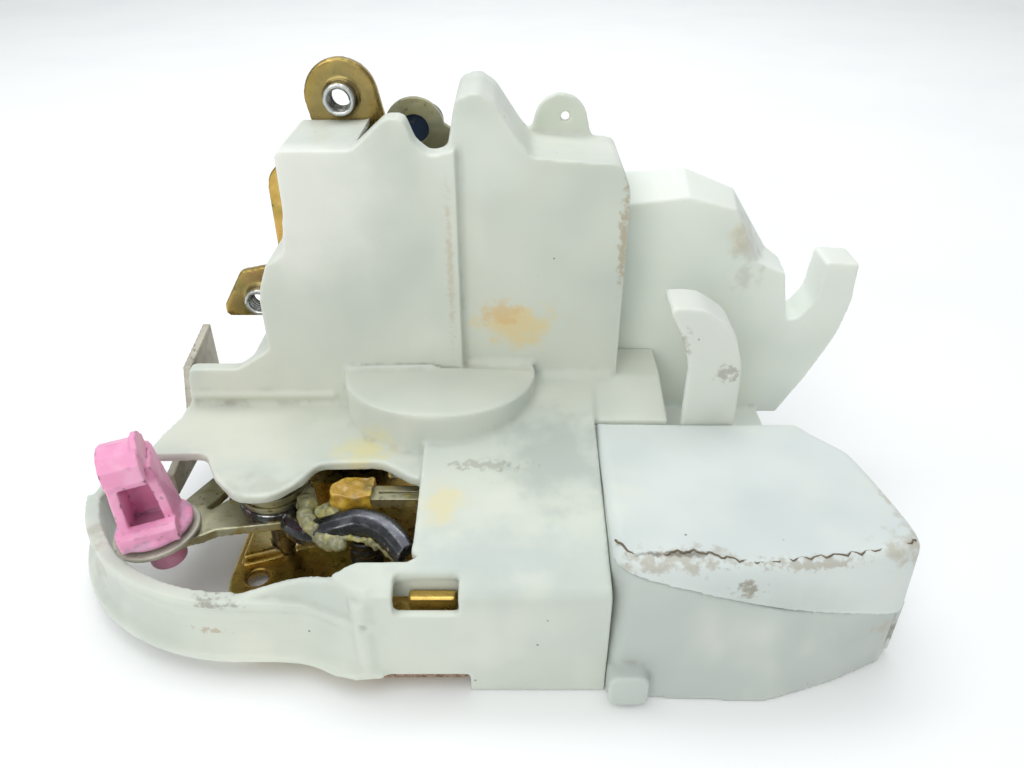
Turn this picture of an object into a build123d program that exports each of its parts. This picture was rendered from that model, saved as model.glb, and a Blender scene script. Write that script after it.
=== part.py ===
from build123d import *
import math
import os

# Door latch actuator. All sizes are in millimetres.
# X runs to the right along the front wall, Y runs back to the face plate, Z is up.
# The part stands on its plastic case with the steel face plate upright at the back.

# ---------------------------------------------------------------- general
FIT = 0.05             # radial running fit of a shaft in its hole
SLIP = 0.10            # axial gap between two pieces that turn on each other
GAP = 0.30             # free gap between pieces that pass each other
WALL = 1.8             # wall of the moulded plastic pieces

DATUM_X = -8.3         # centre of the whole part along X, taken as its origin
DATUM_Y = 40.0         # centre of the whole part along Y, taken as its origin

# ---------------------------------------------------------------- steel frame
SHEET = 2.3            # sheet thickness of the latch frame
PLATE_Y = 82.0         # front side of the upright face plate
LEG_Z = 2.0            # underside of the flat leg
BEND_R = 2.7           # inside radius of the bend between leg and face plate
PLATE_LEFT_X = -58.0
PLATE_RIGHT_X = 16.0
PLATE_TOP_Z = 88.0
LEG_LEFT_X = -64.8
LEG_FRONT_Y = 1.3
TONGUE_X = -15.3       # middle of the snap tongue that stands behind the front wall
TONGUE_WIDTH = 9.4
TONGUE_TOP_Z = 26.0
UPPER_HOLE = (-38.3, 98.0)     # the three screw holes of the face plate, as X and Z
SIDE_HOLE = (-64.5, 48.0)
LOWER_HOLE = (8.0, 54.0)
TAB_R = 8.3            # round end of the upper screw tab
TAP_R = 2.5            # tapping radius of the screw holes, for a 6 mm thread
COLLAR_R = 3.6         # drawn collar round each tapped hole
COLLAR_LENGTH = 3.2
LEG_HOLE = (-58.4, 26.9)       # plain hole in the leg, as X and Y
LEG_HOLE_R = 2.5
BEAD_X = -31.5         # rounded bead pressed down into the front edge of the leg
BEAD_R = 3.6
PAD_HEIGHT = 2.4       # stiffening pad pressed up out of the leg

# ---------------------------------------------------------------- striker slot
SLOT_X = -25.0
SLOT_WIDTH = 15.0
SLOT_TOP_Z = 41.0
SLOT_FRONT_Y = 63.0

# ---------------------------------------------------------------- latch body
BACK_T = 2.0           # thickness of the steel backing plate
BACK_INSET = 2.0       # the backing plate is smaller than the latch body all round
BODY_T = 14.0          # depth of the plastic latch body in front of the face plate
BODY_LEFT_X = -58.0
BODY_WAIST_X = -54.4    # left side of the body above the wing of the cover
BODY_RIGHT_X = -1.0
BODY_FOOT_Z = 8.0
BODY_TOP_Z = 70.0
HORN_X = -21.5         # horn of the latch body that backs the ring of the handle lever
HORN_TOP_Z = 97.0
HORN_WIDTH = 12.0
HORN_T = 1.5

CLAW_X = -40.0
CLAW_Z = 36.0
CLAW_T = 6.0           # thickness of claw and pawl
CLAW_ROOM = 2.0        # room between them and the face plate
CLAW_PLAY = 0.5        # room between them and the floor of the latch body's pocket
CLAW_R = 18.0          # radius over the teeth
CLAW_HUB_R = 14.3      # radius between the teeth
CLAW_MOUTH = 11.0      # width of the mouth for the striker
CLAW_MOUTH_ANGLE = -11.0       # direction of the mouth when the claw is shut
CLAW_TRAVEL = 55.0     # degrees from open to shut
CLAW_PIN_R = 4.0

PAWL_X = -14.0
PAWL_Z = 58.0
PAWL_REACH = 23.0      # from the pawl's pin to its tip along X, when dropped
PAWL_HUB_R = 6.0
PAWL_PIN_R = 3.0
PAWL_TIP_R = 1.6
PAWL_TIP_DROP = 5.1    # the dropped tip's middle lies this far under the pin
PAWL_TRAVEL = 10.0     # degrees that the pawl drops from its lifted rest

PIN_HEAD_T = 1.2       # front heads of the claw, pawl and ring lever pins
SPRING_WIRE = 1.2      # wire of the claw and pawl springs
SPRING_SEAT_T = 4.2    # depth of the spring seats in the latch body

# ---------------------------------------------------------------- handle lever with ring
RING_X = -21.9
RING_Z = 91.9
RING_R = 6.8
RING_HOLE_R = 3.3
RING_T = 1.6
RING_OUT = 3.8         # the lever's front side stands this far in front of the face plate
RING_PIN_X = -4.0
RING_PIN_Z = 78.0
RING_PIN_R = 2.5

# ---------------------------------------------------------------- latch cover
LEFT_PANEL_Y = 58.0
MIDDLE_PANEL_Y = 61.0
LEFT_PANEL_X = -48.4
PANEL_SPLIT_X = -13.4
RIGHT_PANEL_X = 25.2
LEFT_TOP_Z = 93.2
LEFT_PEAK_X = -23.4
LEFT_PEAK_RISE = 6.3   # rises and the drop are measured from the top of the left panel
MIDDLE_PEAK_X = -8.0
MIDDLE_PEAK_RISE = 10.2
MIDDLE_TOP_DROP = 2.4
WING_X = -78.6
WING_TOP_Z = 41.0
WAIST_X = -56.8
CREASE_Z = 37.6        # height at which the sloping deck meets the middle panel
DECK_Z = 31.0          # top of the flat left deck
DECK_SKIRT = 4.0
FRONT_EDGE_Z = 27.0    # top of the upright front wall
STEP_Y = 11.5          # the deck changes its slope here
STEP_Z = 30.0
MID_Y = 38.0
MID_Z = 34.0
WINDOW_X = -19.5       # right side of the open window over the levers
BULGE_X = -17.0        # half-oval bulge at the foot of the panels
BULGE_RX = 22.5
BULGE_RY = 19.5
BULGE_Z = 41.0
EAR_X = 11.0           # domed ear on the back edge of the top
EAR_RISE = 2.4         # middle of its hole above the top of the middle panel
EAR_R = 6.0
EAR_T = 2.0
EAR_HOLE_R = 1.1
DECK_RIGHT_X = 36.0    # right side of the deck behind the actuator box

GUARD_X = -56.0        # centre of the round guard that loops past the rod clip
GUARD_Y = 50.0
GUARD_R = 42.8
GUARD_Z = 4.6
GUARD_TOP_Z = 19.0
GUARD_LIP = 4.0        # how far the lower lip stands out
GUARD_BROW = 1.4       # how far the upper lip stands out
GUARD_END_ANGLE = 195.0
SNAP_WINDOW_X = -15.6
SNAP_WINDOW_WIDTH = 10.8
SNAP_WINDOW_Z = 22.5
SNAP_WINDOW_TOP_Z = 31.5       # above the deck's edge, so that the window cuts through it
COLUMN_X = -28.5       # round column on the front wall
COLUMN_R = 2.6
COLUMN_HOLE_R = 1.0    # blind hole in the column's front

# ---------------------------------------------------------------- actuator box
BOX_LEFT_X = 19.0
BOX_RIGHT_X = 78.8
BOX_BACK_Y = 47.0
BOX_TOP_Z = 34.0
BOX_FRONT_Y = 1.0      # front of the box at its top
BOX_SWELL = 3.8        # how far the front swells out towards the floor
PARTING_LEFT_Z = 31.5  # height of the joint between case and lid at the left
PARTING_DROP = 0.25    # drop of that joint per millimetre to the right
LUG_TOP_Z = 15.5
BUMP_X = 23.0
BUMP_WIDTH = 8.0
BUMP_Z = 9.0
BUMP_OUT = 1.5

# ---------------------------------------------------------------- motor and gears
MOTOR_X = 42.0
MOTOR_Y = 17.0
MOTOR_Z = 17.0
MOTOR_R = 10.0
MOTOR_FLAT = 15.4      # height over the flats of the can
MOTOR_LENGTH = 26.5
CAP_T = 2.5
TERMINAL_LENGTH = 2.5
BEARING_R = 3.0
BEARING_LENGTH = 2.0
SHAFT_R = 1.0
WORM_R = 3.5
WORM_LENGTH = 15.0
WHEEL_X = 31.3
WHEEL_R = 9.8
WHEEL_T = 5.0
WHEEL_TEETH = 22
TOOTH_DEPTH = 1.5
WHEEL_PIN_R = 2.0
MODULE = 1.0           # of pinion and rack
PINION_TEETH = 10
WHEEL_TRAVEL = 55.0    # degrees that the wheel turns to move the rack from end to end

GUIDE_X = -12.0        # forked rib of the cover that guides the rack
RACK_Z = 24.2
RACK_T = 2.4
RACK_WIDTH = 4.6
RACK_STEP_X = -2.0     # the bar steps over to the pinion from here
RACK_STEP = 12.0
GROOVE_WIDTH = 0.8     # groove along the bar's upper face
GROOVE_DEPTH = 0.6
RACK_LEFT_X = -33.0
RACK_LEFT_Y = 30.5
RACK_END_ROOM = 3.2    # room between the rack's far end and the motor can
BLOCK_LENGTH = 9.5     # resin block on the rack's left end
BLOCK_Y = 27.2
BLOCK_WIDTH = 7.0
BLOCK_Z = 20.0
BLOCK_HEIGHT = 6.7

# ---------------------------------------------------------------- release lever
PIVOT_X = -54.0
PIVOT_Y = 37.0
STUD_R = 3.0
STUD_HEAD_R = 5.2
LEVER_Z = 16.8
LEVER_T = 2.2
LEVER_HUB_R = 8.2
LEVER_ELBOW = (11.0, 4.3)      # bend of the long arm, as X and Y from the clip
LEVER_ELBOW_R = 3.6
LEVER_EYE_R = 6.4      # round end under the clip
LEVER_TAIL = (10.0, 19.0)      # end of the side finger, as X and Y from the clip
LEVER_TAIL_R = 2.6
DRUM_R = 7.6
DRUM_T = 3.6
CLIP_X = -77.4
CLIP_Y = 26.0
CLIP_STEM_R = 3.0
CLIP_STUB_R = 4.1
CLIP_STUB_LENGTH = 5.6
CLIP_FLANGE_R = 7.2
CLIP_HEIGHT = 18.0
CLIP_WALL = 1.7
ROD_R = 2.6            # radius of the seat for the rod
WASHER_R = 8.4
WASHER_T = 1.2
ARM_T = 2.2
ARM_HEIGHT = 6.0
ARM_REACH = 31.0       # from the pivot to the arm's end along X
ARM_DROP = 20.5        # and along Y
ARM_WIDTH = 5.0
ARM_BEND_R = 3.5
RETURN_COIL_R = 5.4
RETURN_WIRE = 1.4

# ---------------------------------------------------------------- bracket, bumper, shield, hood
BRACKET_X = -81.2
BRACKET_T = 2.0
BRACKET_TOP_Z = 36.5
BRACKET_FOOT_Z = 22.0
BRACKET_LOW_Z = 15.5
BRACKET_FRONT_Y = 42.5
RIVET_R = 2.0
RIVET_HEAD_T = 1.0
BUMPER_X = -33.9
BUMPER_Y = 33.0
BUMPER_R = 4.0
BUMPER_HEIGHT = 7.5
SHIELD_Y = 74.0
SHIELD_BACK_Y = 84.0
SHIELD_FOOT_Z = 17.6
SHIELD_TOP_Z = 76.6
HOOK_X = 88.0
HOOK_TOP_Z = 61.0
HOOD_X = 39.0
HOOD_WIDTH = 12.6
HOOD_TOP_Z = 63.0
HOOD_DEPTH = 10.0
HOOD_FOOT_Z = 22.0
SCREW_R = 1.5
SCREW_HEAD_R = 3.0


# ================================================================ helpers
def rounded(points, radii=0.0):
    """Flat face through the points, each corner rounded to its radius."""
    return make_face(FilletPolyline(*points, radius=radii, close=True))


def flat(face, z0, z1):
    """A face drawn in X and Y, raised from z0 to z1."""
    return extrude(Pos(0, 0, z0) * face, amount=z1 - z0)


def upright(face, y0, y1):
    """A face drawn in X and Z, run back from y0 to y1."""
    return extrude(Plane.XZ.offset(-y0) * face, amount=y0 - y1)


def sideways(face, x0, x1):
    """A face drawn in Y and Z, run to the right from x0 to x1."""
    return extrude(Plane.YZ.offset(x0) * face, amount=x1 - x0)


def block(x0, x1, y0, y1, z0, z1):
    """A plain box between two corners."""
    middle = Pos((x0 + x1) / 2, (y0 + y1) / 2, (z0 + z1) / 2)
    return middle * Box(x1 - x0, y1 - y0, z1 - z0)


def disc(x, y, radius):
    """A round face with its centre at x, y of the drawing plane."""
    return Pos(x, y) * Circle(radius)


def post(x, y, radius, z0, z1):
    """An upright cylinder."""
    return flat(disc(x, y, radius), z0, z1)


def pin_along_y(x, z, radius, y0, y1):
    """A cylinder that runs from front to back."""
    return upright(disc(x, z, radius), y0, y1)


def pin_along_x(y, z, radius, x0, x1):
    """A cylinder that runs from left to right."""
    return sideways(disc(y, z, radius), x0, x1)


def link(x0, y0, r0, x1, y1, r1):
    """The hull of two discs: the outline of a plain link."""
    return make_hull(disc(x0, y0, r0).edges() + disc(x1, y1, r1).edges())


def band(points, width, radius):
    """A ribbon of even width along a path with rounded corners."""
    path = FilletPolyline(*points, radius=radius)
    return trace(path, width)


def sector(x, y, radius, start, end):
    """A slice of a disc between two directions, in degrees."""
    far = 2 * radius
    steps = [start, (start + end) / 2, end]
    rim = [(x + far * math.cos(math.radians(a)), y + far * math.sin(math.radians(a))) for a in steps]
    return disc(x, y, radius) & make_face(Polyline((x, y), *rim, close=True))


def turned(face, x, y, degrees):
    """A face turned about a point of its plane."""
    return Pos(x, y) * Rot(0, 0, degrees) * Pos(-x, -y) * face


def coil(radius, wire, height, turns):
    """A coil spring that stands on the origin and winds up along Z."""
    path = Helix(pitch=height / turns, height=height, radius=radius)
    start = Plane(origin=path @ 0, z_dir=path % 0)
    return sweep(start * Circle(wire / 2), path=path)


def toothed_disc(radius, depth, teeth, land):
    """A disc with straight-sided teeth; land is the tooth's share of the pitch at its middle."""
    root = radius - depth
    pitch = 2 * math.pi / teeth
    half_tip = land * pitch * 0.32
    half_root = land * pitch * 0.68
    points = []
    for i in range(teeth):
        middle = i * pitch
        for r, a in ((root, -half_root), (radius, -half_tip), (radius, half_tip), (root, half_root)):
            points.append((r * math.cos(middle + a), r * math.sin(middle + a)))
    return make_face(Polyline(*points, close=True))


# ================================================================ places worked out from the sizes
LEG_TOP_Z = LEG_Z + SHEET
LEG_FOOT_X = TONGUE_X + TONGUE_WIDTH / 2 + 2.0
PLATE_BACK_Y = PLATE_Y + SHEET
BODY_Y = PLATE_Y - BODY_T
BACK_Y = BODY_Y - BACK_T
CLAW_Y = PLATE_Y - CLAW_ROOM - CLAW_T
FLOOR_Y = CLAW_Y - CLAW_PLAY
RING_Y = PLATE_Y - RING_OUT
LEFT_PEAK_Z = LEFT_TOP_Z + LEFT_PEAK_RISE
MIDDLE_PEAK_Z = LEFT_TOP_Z + MIDDLE_PEAK_RISE
MIDDLE_TOP_Z = LEFT_TOP_Z - MIDDLE_TOP_DROP
EAR_Z = MIDDLE_TOP_Z + EAR_RISE
PINION_R = MODULE * PINION_TEETH / 2
WHEEL_Y = MOTOR_Y + WORM_R + GAP + WHEEL_R
WHEEL_Z = MOTOR_Z - WHEEL_T / 2
RACK_LINE_Y = WHEEL_Y - PINION_R
RACK_TRAVEL = PINION_R * math.radians(WHEEL_TRAVEL)
ARM_Z = LEVER_Z + LEVER_T
DRUM_Z = ARM_Z + ARM_T
WASHER_Z = LEVER_Z + LEVER_T
CLIP_Z = WASHER_Z + WASHER_T + SLIP


# ================================================================ steel frame
def striker_slot(y0, y1, z0):
    """The open slot that the striker enters from below."""
    half = SLOT_WIDTH / 2
    left = SLOT_X - half
    right = SLOT_X + half
    corner = half - 0.1
    face = rounded([(left, z0), (right, z0), (right, SLOT_TOP_Z), (left, SLOT_TOP_Z)], [0, 0, corner, corner])
    return upright(face, y0, y1)


def face_plate_outline():
    """The upright plate with its two screw tabs, as X and Z."""
    body = rounded(
        [
            (PLATE_LEFT_X, LEG_Z),
            (PLATE_RIGHT_X, LEG_Z),
            (PLATE_RIGHT_X, LOWER_HOLE[1] + TAB_R),
            (LOWER_HOLE[0], LOWER_HOLE[1] + 2 * TAB_R),
            (SLOT_X + SLOT_WIDTH, PLATE_TOP_Z),
            (PLATE_LEFT_X + TAB_R, PLATE_TOP_Z),
            (PLATE_LEFT_X, PLATE_TOP_Z - TAB_R),
        ],
        [0, 0, 6, 8, 8, 8, 6],
    )
    upper = link(*UPPER_HOLE, TAB_R, UPPER_HOLE[0] + 4, PLATE_TOP_Z - TAB_R, TAB_R)
    ear_x, ear_z = SIDE_HOLE
    side = rounded(
        [
            (ear_x - 10.0, ear_z - 5.4),
            (PLATE_LEFT_X + 4, ear_z - 5.4),
            (PLATE_LEFT_X + 4, ear_z + 12.0),
            (ear_x + 2.0, ear_z + 8.5),
            (ear_x - 4.3, ear_z + 7.2),
            (ear_x - 9.9, ear_z - 2.2),
        ],
        [1.5, 0, 3, 3, 2, 1.5],
    )
    foot = rounded(
        [
            (PLATE_LEFT_X - 8, BRACKET_FOOT_Z - 4),
            (PLATE_LEFT_X + 4, BRACKET_FOOT_Z - 4),
            (PLATE_LEFT_X + 4, BRACKET_TOP_Z),
            (PLATE_LEFT_X - 8, BRACKET_TOP_Z),
        ],
        [3, 0, 0, 3],
    )
    return body + upper + side + foot


def leg_outline():
    """The flat leg, as X and Y."""
    return rounded(
        [
            (PLATE_LEFT_X, PLATE_BACK_Y),
            (PLATE_RIGHT_X, PLATE_BACK_Y),
            (PLATE_RIGHT_X, SLOT_FRONT_Y - 8),
            (LEG_FOOT_X, 40),
            (LEG_FOOT_X, LEG_FRONT_Y),
            (BEAD_X + 4, LEG_FRONT_Y),
            (BEAD_X - 5, LEG_FRONT_Y + 2.9),
            (BEAD_X - 12, LEG_FRONT_Y + 5.7),
            (LEG_HOLE[0] + 5, LEG_FRONT_Y + 5.2),
            (LEG_LEFT_X + 1.5, LEG_HOLE[1] - 8),
            (LEG_LEFT_X, LEG_HOLE[1]),
            (LEG_LEFT_X, SLOT_FRONT_Y),
        ],
        [0, 0, 6, 6, 1, 2, 4, 6, 6, 5, 3, 8],
    )


def frame_profile():
    """Section of the bent sheet, as Y and Z, wide enough for the leg and the highest tab."""
    high = UPPER_HOLE[1] + 2 * TAB_R
    low = LEG_FRONT_Y - SHEET
    return rounded(
        [
            (low, LEG_Z),
            (PLATE_BACK_Y, LEG_Z),
            (PLATE_BACK_Y, high),
            (PLATE_Y, high),
            (PLATE_Y, LEG_TOP_Z),
            (low, LEG_TOP_Z),
        ],
        [0, BEND_R + SHEET, 0, 0, BEND_R, 0],
    )


def snap_tongue():
    """The tongue that stands up behind the front wall and hooks into its window."""
    back = WALL + GAP + SHEET + 1.0
    hook = rounded(
        [
            (back - SHEET, LEG_Z),
            (back, LEG_Z),
            (back, TONGUE_TOP_Z),
            (WALL / 2, TONGUE_TOP_Z),
            (WALL / 2, TONGUE_TOP_Z - SHEET),
            (back - SHEET, TONGUE_TOP_Z - SHEET),
        ],
        [0, 0, SHEET + 0.6, 0.3, 0.3, 0.6],
    )
    return sideways(hook, TONGUE_X - TONGUE_WIDTH / 2, TONGUE_X + TONGUE_WIDTH / 2)


def latch_frame():
    """One bent and pierced sheet: face plate, leg, screw tabs, collars, bead and tongue."""
    sheet = sideways(frame_profile(), BRACKET_X, PLATE_RIGHT_X + TAB_R)
    keep = upright(face_plate_outline(), PLATE_Y - BEND_R, PLATE_BACK_Y + 1)
    keep += flat(leg_outline(), LEG_Z - 1, LEG_TOP_Z + BEND_R)
    frame = sheet & keep
    for x, z in (UPPER_HOLE, SIDE_HOLE, LOWER_HOLE):
        frame += pin_along_y(x, z, COLLAR_R, PLATE_Y - COLLAR_LENGTH, PLATE_Y)
        frame -= pin_along_y(x, z, TAP_R, PLATE_Y - COLLAR_LENGTH - 1, PLATE_BACK_Y + 1)
    pad_left = LEG_LEFT_X + 2
    pad_right = SLOT_X - SLOT_WIDTH
    pad_front = PIVOT_Y + 8
    pad_back = SLOT_FRONT_Y - 5
    pad = rounded(
        [(pad_left, pad_front), (pad_right, pad_front), (pad_right, pad_back), (pad_left, pad_back)], 4.0
    )
    frame += flat(pad, LEG_TOP_Z - 0.5, LEG_TOP_Z + PAD_HEIGHT)
    frame -= flat(offset(pad, -SHEET), LEG_Z - 1, LEG_TOP_Z + PAD_HEIGHT - SHEET)
    bead = pin_along_y(BEAD_X, LEG_TOP_Z, BEAD_R, LEG_FRONT_Y + 3.2, LEG_FRONT_Y + 13)
    frame += bead & block(BEAD_X - BEAD_R, BEAD_X + BEAD_R, 0, 40, 0, LEG_TOP_Z)
    frame -= pin_along_y(BEAD_X, LEG_TOP_Z, BEAD_R - SHEET, 0, LEG_FRONT_Y + 11)
    frame += snap_tongue()
    frame -= post(*LEG_HOLE, LEG_HOLE_R, LEG_Z - 1, LEG_TOP_Z + 1)
    frame -= post(PIVOT_X, PIVOT_Y, STUD_R, LEG_Z - 1, LEG_TOP_Z + PAD_HEIGHT + 1)
    frame -= post(BUMPER_X, BUMPER_Y, BUMPER_R / 2, LEG_Z - 1, LEG_TOP_Z + 1)
    frame -= pin_along_y(CLAW_X, CLAW_Z, CLAW_PIN_R, PLATE_Y - 1, PLATE_BACK_Y + 1)
    frame -= pin_along_y(PAWL_X, PAWL_Z, PAWL_PIN_R, PLATE_Y - 1, PLATE_BACK_Y + 1)
    frame -= pin_along_y(RING_PIN_X, RING_PIN_Z, RING_PIN_R, PLATE_Y - 1, PLATE_BACK_Y + 1)
    for x, z in bracket_rivet_places():
        frame -= pin_along_y(x, z, RIVET_R, PLATE_Y - 1, PLATE_BACK_Y + 1)
    frame -= striker_slot(SLOT_FRONT_Y, PLATE_BACK_Y + 1, 0)
    return frame


# ================================================================ latch inside
def body_outline():
    """Outline of the latch body, as X and Z."""
    return rounded(
        [
            (BODY_LEFT_X, BODY_FOOT_Z),
            (BODY_RIGHT_X, BODY_FOOT_Z),
            (BODY_RIGHT_X, BODY_TOP_Z),
            (PAWL_X - 14, BODY_TOP_Z),
            (BODY_WAIST_X, CLAW_Z + CLAW_R + 2),
            (BODY_WAIST_X, WING_TOP_Z + 3),
            (BODY_LEFT_X, WING_TOP_Z - 3),
        ],
        [4, 4, 5, 8, 6, 2, 2],
    )


def backing_plate():
    """Steel plate in front of the latch body that carries the front ends of the pins."""
    plate = upright(offset(body_outline(), -BACK_INSET), BACK_Y, BODY_Y)
    plate -= pin_along_y(CLAW_X, CLAW_Z, CLAW_PIN_R, BACK_Y - 1, BODY_Y + 1)
    plate -= pin_along_y(PAWL_X, PAWL_Z, PAWL_PIN_R, BACK_Y - 1, BODY_Y + 1)
    return plate - striker_slot(BACK_Y - 1, BODY_Y + 1, 0)


def latch_body():
    """Moulded body with one open pocket for claw and pawl and a horn behind the ring."""
    body = upright(body_outline(), BODY_Y, PLATE_Y)
    pocket = disc(CLAW_X, CLAW_Z, CLAW_HUB_R + 3 * GAP)
    for start, end in ((-130, -40), (-41, 40), (39, 112)):
        pocket += sector(CLAW_X, CLAW_Z, CLAW_R + 3 * GAP, start, end)
    pocket += rounded(
        [
            (CLAW_X - 4, CLAW_Z + 10),
            (PAWL_X + PAWL_HUB_R + 2, PAWL_Z - PAWL_HUB_R - 6),
            (PAWL_X + PAWL_HUB_R + 2, PAWL_Z + PAWL_HUB_R + 3),
            (PAWL_X - 6, PAWL_Z + PAWL_HUB_R + 3),
            (CLAW_X - 4, PAWL_Z + 3),
        ],
        [0, 3, 3, 3, 3],
    )
    body -= upright(pocket, FLOOR_Y, PLATE_Y + 1)
    seat_y = FLOOR_Y - SPRING_SEAT_T
    for x, z, r in ((CLAW_X, CLAW_Z, CLAW_PIN_R), (PAWL_X, PAWL_Z, PAWL_PIN_R)):
        body -= pin_along_y(x, z, r + FIT, BODY_Y - 1, PLATE_Y + 1)
        body -= pin_along_y(x, z, r + 2 * SPRING_WIRE + 2 * GAP, seat_y, PLATE_Y)
    body -= striker_slot(BODY_Y - 1, PLATE_Y + 1, 0)
    half = HORN_WIDTH / 2
    horn = rounded(
        [
            (HORN_X - half, BODY_TOP_Z - 3),
            (HORN_X + half, BODY_TOP_Z - 3),
            (HORN_X + half, HORN_TOP_Z),
            (HORN_X - half, HORN_TOP_Z),
        ],
        [0, 0, 4, 4],
    )
    return body + upright(horn, PLATE_Y - HORN_T, PLATE_Y)


def claw():
    """Rotary claw, drawn shut and turned back to its open rest."""
    face = disc(CLAW_X, CLAW_Z, CLAW_HUB_R)
    mouth = CLAW_MOUTH_ANGLE
    for start, end in ((mouth + 8, mouth + 49), (mouth - 51, mouth - 8), (87, 104)):
        face += sector(CLAW_X, CLAW_Z, CLAW_R, start, end)
    half = CLAW_MOUTH / 2
    inner = CLAW_PIN_R + 5.0
    slot = rounded(
        [
            (CLAW_X + inner, CLAW_Z - half),
            (CLAW_X + 2 * CLAW_R, CLAW_Z - half),
            (CLAW_X + 2 * CLAW_R, CLAW_Z + half),
            (CLAW_X + inner, CLAW_Z + half),
        ],
        [half - 0.1, 0, 0, half - 0.1],
    )
    face -= turned(slot, CLAW_X, CLAW_Z, mouth)
    face -= disc(CLAW_X, CLAW_Z, CLAW_PIN_R + FIT)
    return upright(turned(face, CLAW_X, CLAW_Z, -CLAW_TRAVEL), CLAW_Y, CLAW_Y + CLAW_T)


def pawl():
    """Pawl, drawn with its tip dropped behind the claw's tooth and turned to its lifted rest."""
    tip_x = PAWL_X - PAWL_REACH
    tip_z = PAWL_Z - PAWL_TIP_DROP
    face = link(PAWL_X, PAWL_Z, PAWL_HUB_R, tip_x, tip_z, PAWL_TIP_R)
    face += link(PAWL_X, PAWL_Z, PAWL_HUB_R - 2, PAWL_X + 3.4, PAWL_Z - PAWL_HUB_R - 1.5, 2.0)
    face -= disc(PAWL_X, PAWL_Z, PAWL_PIN_R + FIT)
    return upright(turned(face, PAWL_X, PAWL_Z, -PAWL_TRAVEL), CLAW_Y, CLAW_Y + CLAW_T)


def headed_pin(x, z, radius):
    """A pin along Y, headed in front and riveted flush with the back of the face plate."""
    pin = pin_along_y(x, z, radius, BACK_Y, PLATE_BACK_Y)
    return pin + pin_along_y(x, z, radius * 1.5, BACK_Y - PIN_HEAD_T, BACK_Y)


def claw_pin():
    return headed_pin(CLAW_X, CLAW_Z, CLAW_PIN_R)


def pawl_pin():
    return headed_pin(PAWL_X, PAWL_Z, PAWL_PIN_R)


def seat_spring(x, z, pin_r):
    """Torsion spring in its seat round a pin."""
    height = SPRING_SEAT_T - SPRING_WIRE - 2 * GAP
    spring = coil(pin_r + GAP + SPRING_WIRE / 2, SPRING_WIRE, height, 2.0)
    y = FLOOR_Y - GAP - SPRING_WIRE / 2
    return Pos(x, y, z) * Rot(90, 0, 0) * spring


def claw_spring():
    return seat_spring(CLAW_X, CLAW_Z, CLAW_PIN_R)


def pawl_spring():
    return seat_spring(PAWL_X, PAWL_Z, PAWL_PIN_R)


def ring_lever():
    """Thin lever with the ring that the outside handle pulls."""
    face = link(RING_X, RING_Z, RING_R * 0.72, RING_PIN_X, RING_PIN_Z, RING_PIN_R + 3)
    face += disc(RING_X, RING_Z, RING_R)
    face += link(RING_PIN_X, RING_PIN_Z, RING_PIN_R + 2, RING_PIN_X + 12, RING_PIN_Z - 5, 2.5)
    face -= disc(RING_X, RING_Z, RING_HOLE_R)
    face -= disc(RING_PIN_X, RING_PIN_Z, RING_PIN_R + FIT)
    return upright(face, RING_Y, RING_Y + RING_T)


def ring_lever_pin():
    """Shouldered stud that holds the ring lever in front of the face plate."""
    head_y = RING_Y - SLIP
    pin = pin_along_y(RING_PIN_X, RING_PIN_Z, RING_PIN_R, head_y, PLATE_BACK_Y)
    pin += pin_along_y(RING_PIN_X, RING_PIN_Z, RING_PIN_R + 1.8, head_y - PIN_HEAD_T, head_y)
    return pin + pin_along_y(RING_PIN_X, RING_PIN_Z, RING_PIN_R + 1.2, RING_Y + RING_T + SLIP, PLATE_Y)


# ================================================================ latch cover
def left_panel_outline():
    """Left panel with its peak and the low wing at its foot, as X and Z."""
    right = PANEL_SPLIT_X + WALL
    foot = DECK_Z - WALL
    return rounded(
        [
            (right, foot),
            (right, LEFT_TOP_Z),
            (PANEL_SPLIT_X - 3.4, LEFT_TOP_Z - 1.2),
            (LEFT_PEAK_X + 3.6, LEFT_TOP_Z + 1.2),
            (LEFT_PEAK_X + 1.7, LEFT_PEAK_Z),
            (LEFT_PEAK_X - 2.2, LEFT_PEAK_Z),
            (LEFT_PEAK_X - 9.3, LEFT_TOP_Z),
            (LEFT_PANEL_X, LEFT_TOP_Z),
            (LEFT_PANEL_X, LEFT_TOP_Z - 12),
            (LEFT_PANEL_X - 1.5, LEFT_TOP_Z - 22.5),
            (WAIST_X + 2.5, LEFT_TOP_Z - 25.5),
            (WAIST_X, LEFT_TOP_Z - 32),
            (WAIST_X, WING_TOP_Z + 5.5),
            (WAIST_X - 8.5, WING_TOP_Z),
            (WING_X + 1.6, WING_TOP_Z),
            (WING_X, foot),
        ],
        [0, 0, 2, 1.5, 1.5, 1.5, 4, 1.5, 6, 1, 2, 8, 1.5, 1.5, 1, 0],
    )


def middle_panel_outline():
    """Middle panel with its rounded peak, as X and Z."""
    foot = DECK_Z - WALL
    return rounded(
        [
            (PANEL_SPLIT_X, foot),
            (PANEL_SPLIT_X, LEFT_TOP_Z - 0.8),
            (MIDDLE_PEAK_X - 3.4, MIDDLE_PEAK_Z - 0.8),
            (MIDDLE_PEAK_X + 0.8, MIDDLE_PEAK_Z + 0.8),
            (MIDDLE_PEAK_X + 4.4, MIDDLE_PEAK_Z - 1.6),
            (MIDDLE_PEAK_X + 9.5, MIDDLE_TOP_Z + 3.4),
            (MIDDLE_PEAK_X + 12.2, MIDDLE_TOP_Z),
            (RIGHT_PANEL_X - 2.2, MIDDLE_TOP_Z - 1.4),
            (RIGHT_PANEL_X, MIDDLE_TOP_Z - 7),
            (RIGHT_PANEL_X, foot),
        ],
        [0, 1.5, 2.5, 2.5, 2.5, 2, 2, 2, 3, 0],
    )


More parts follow.
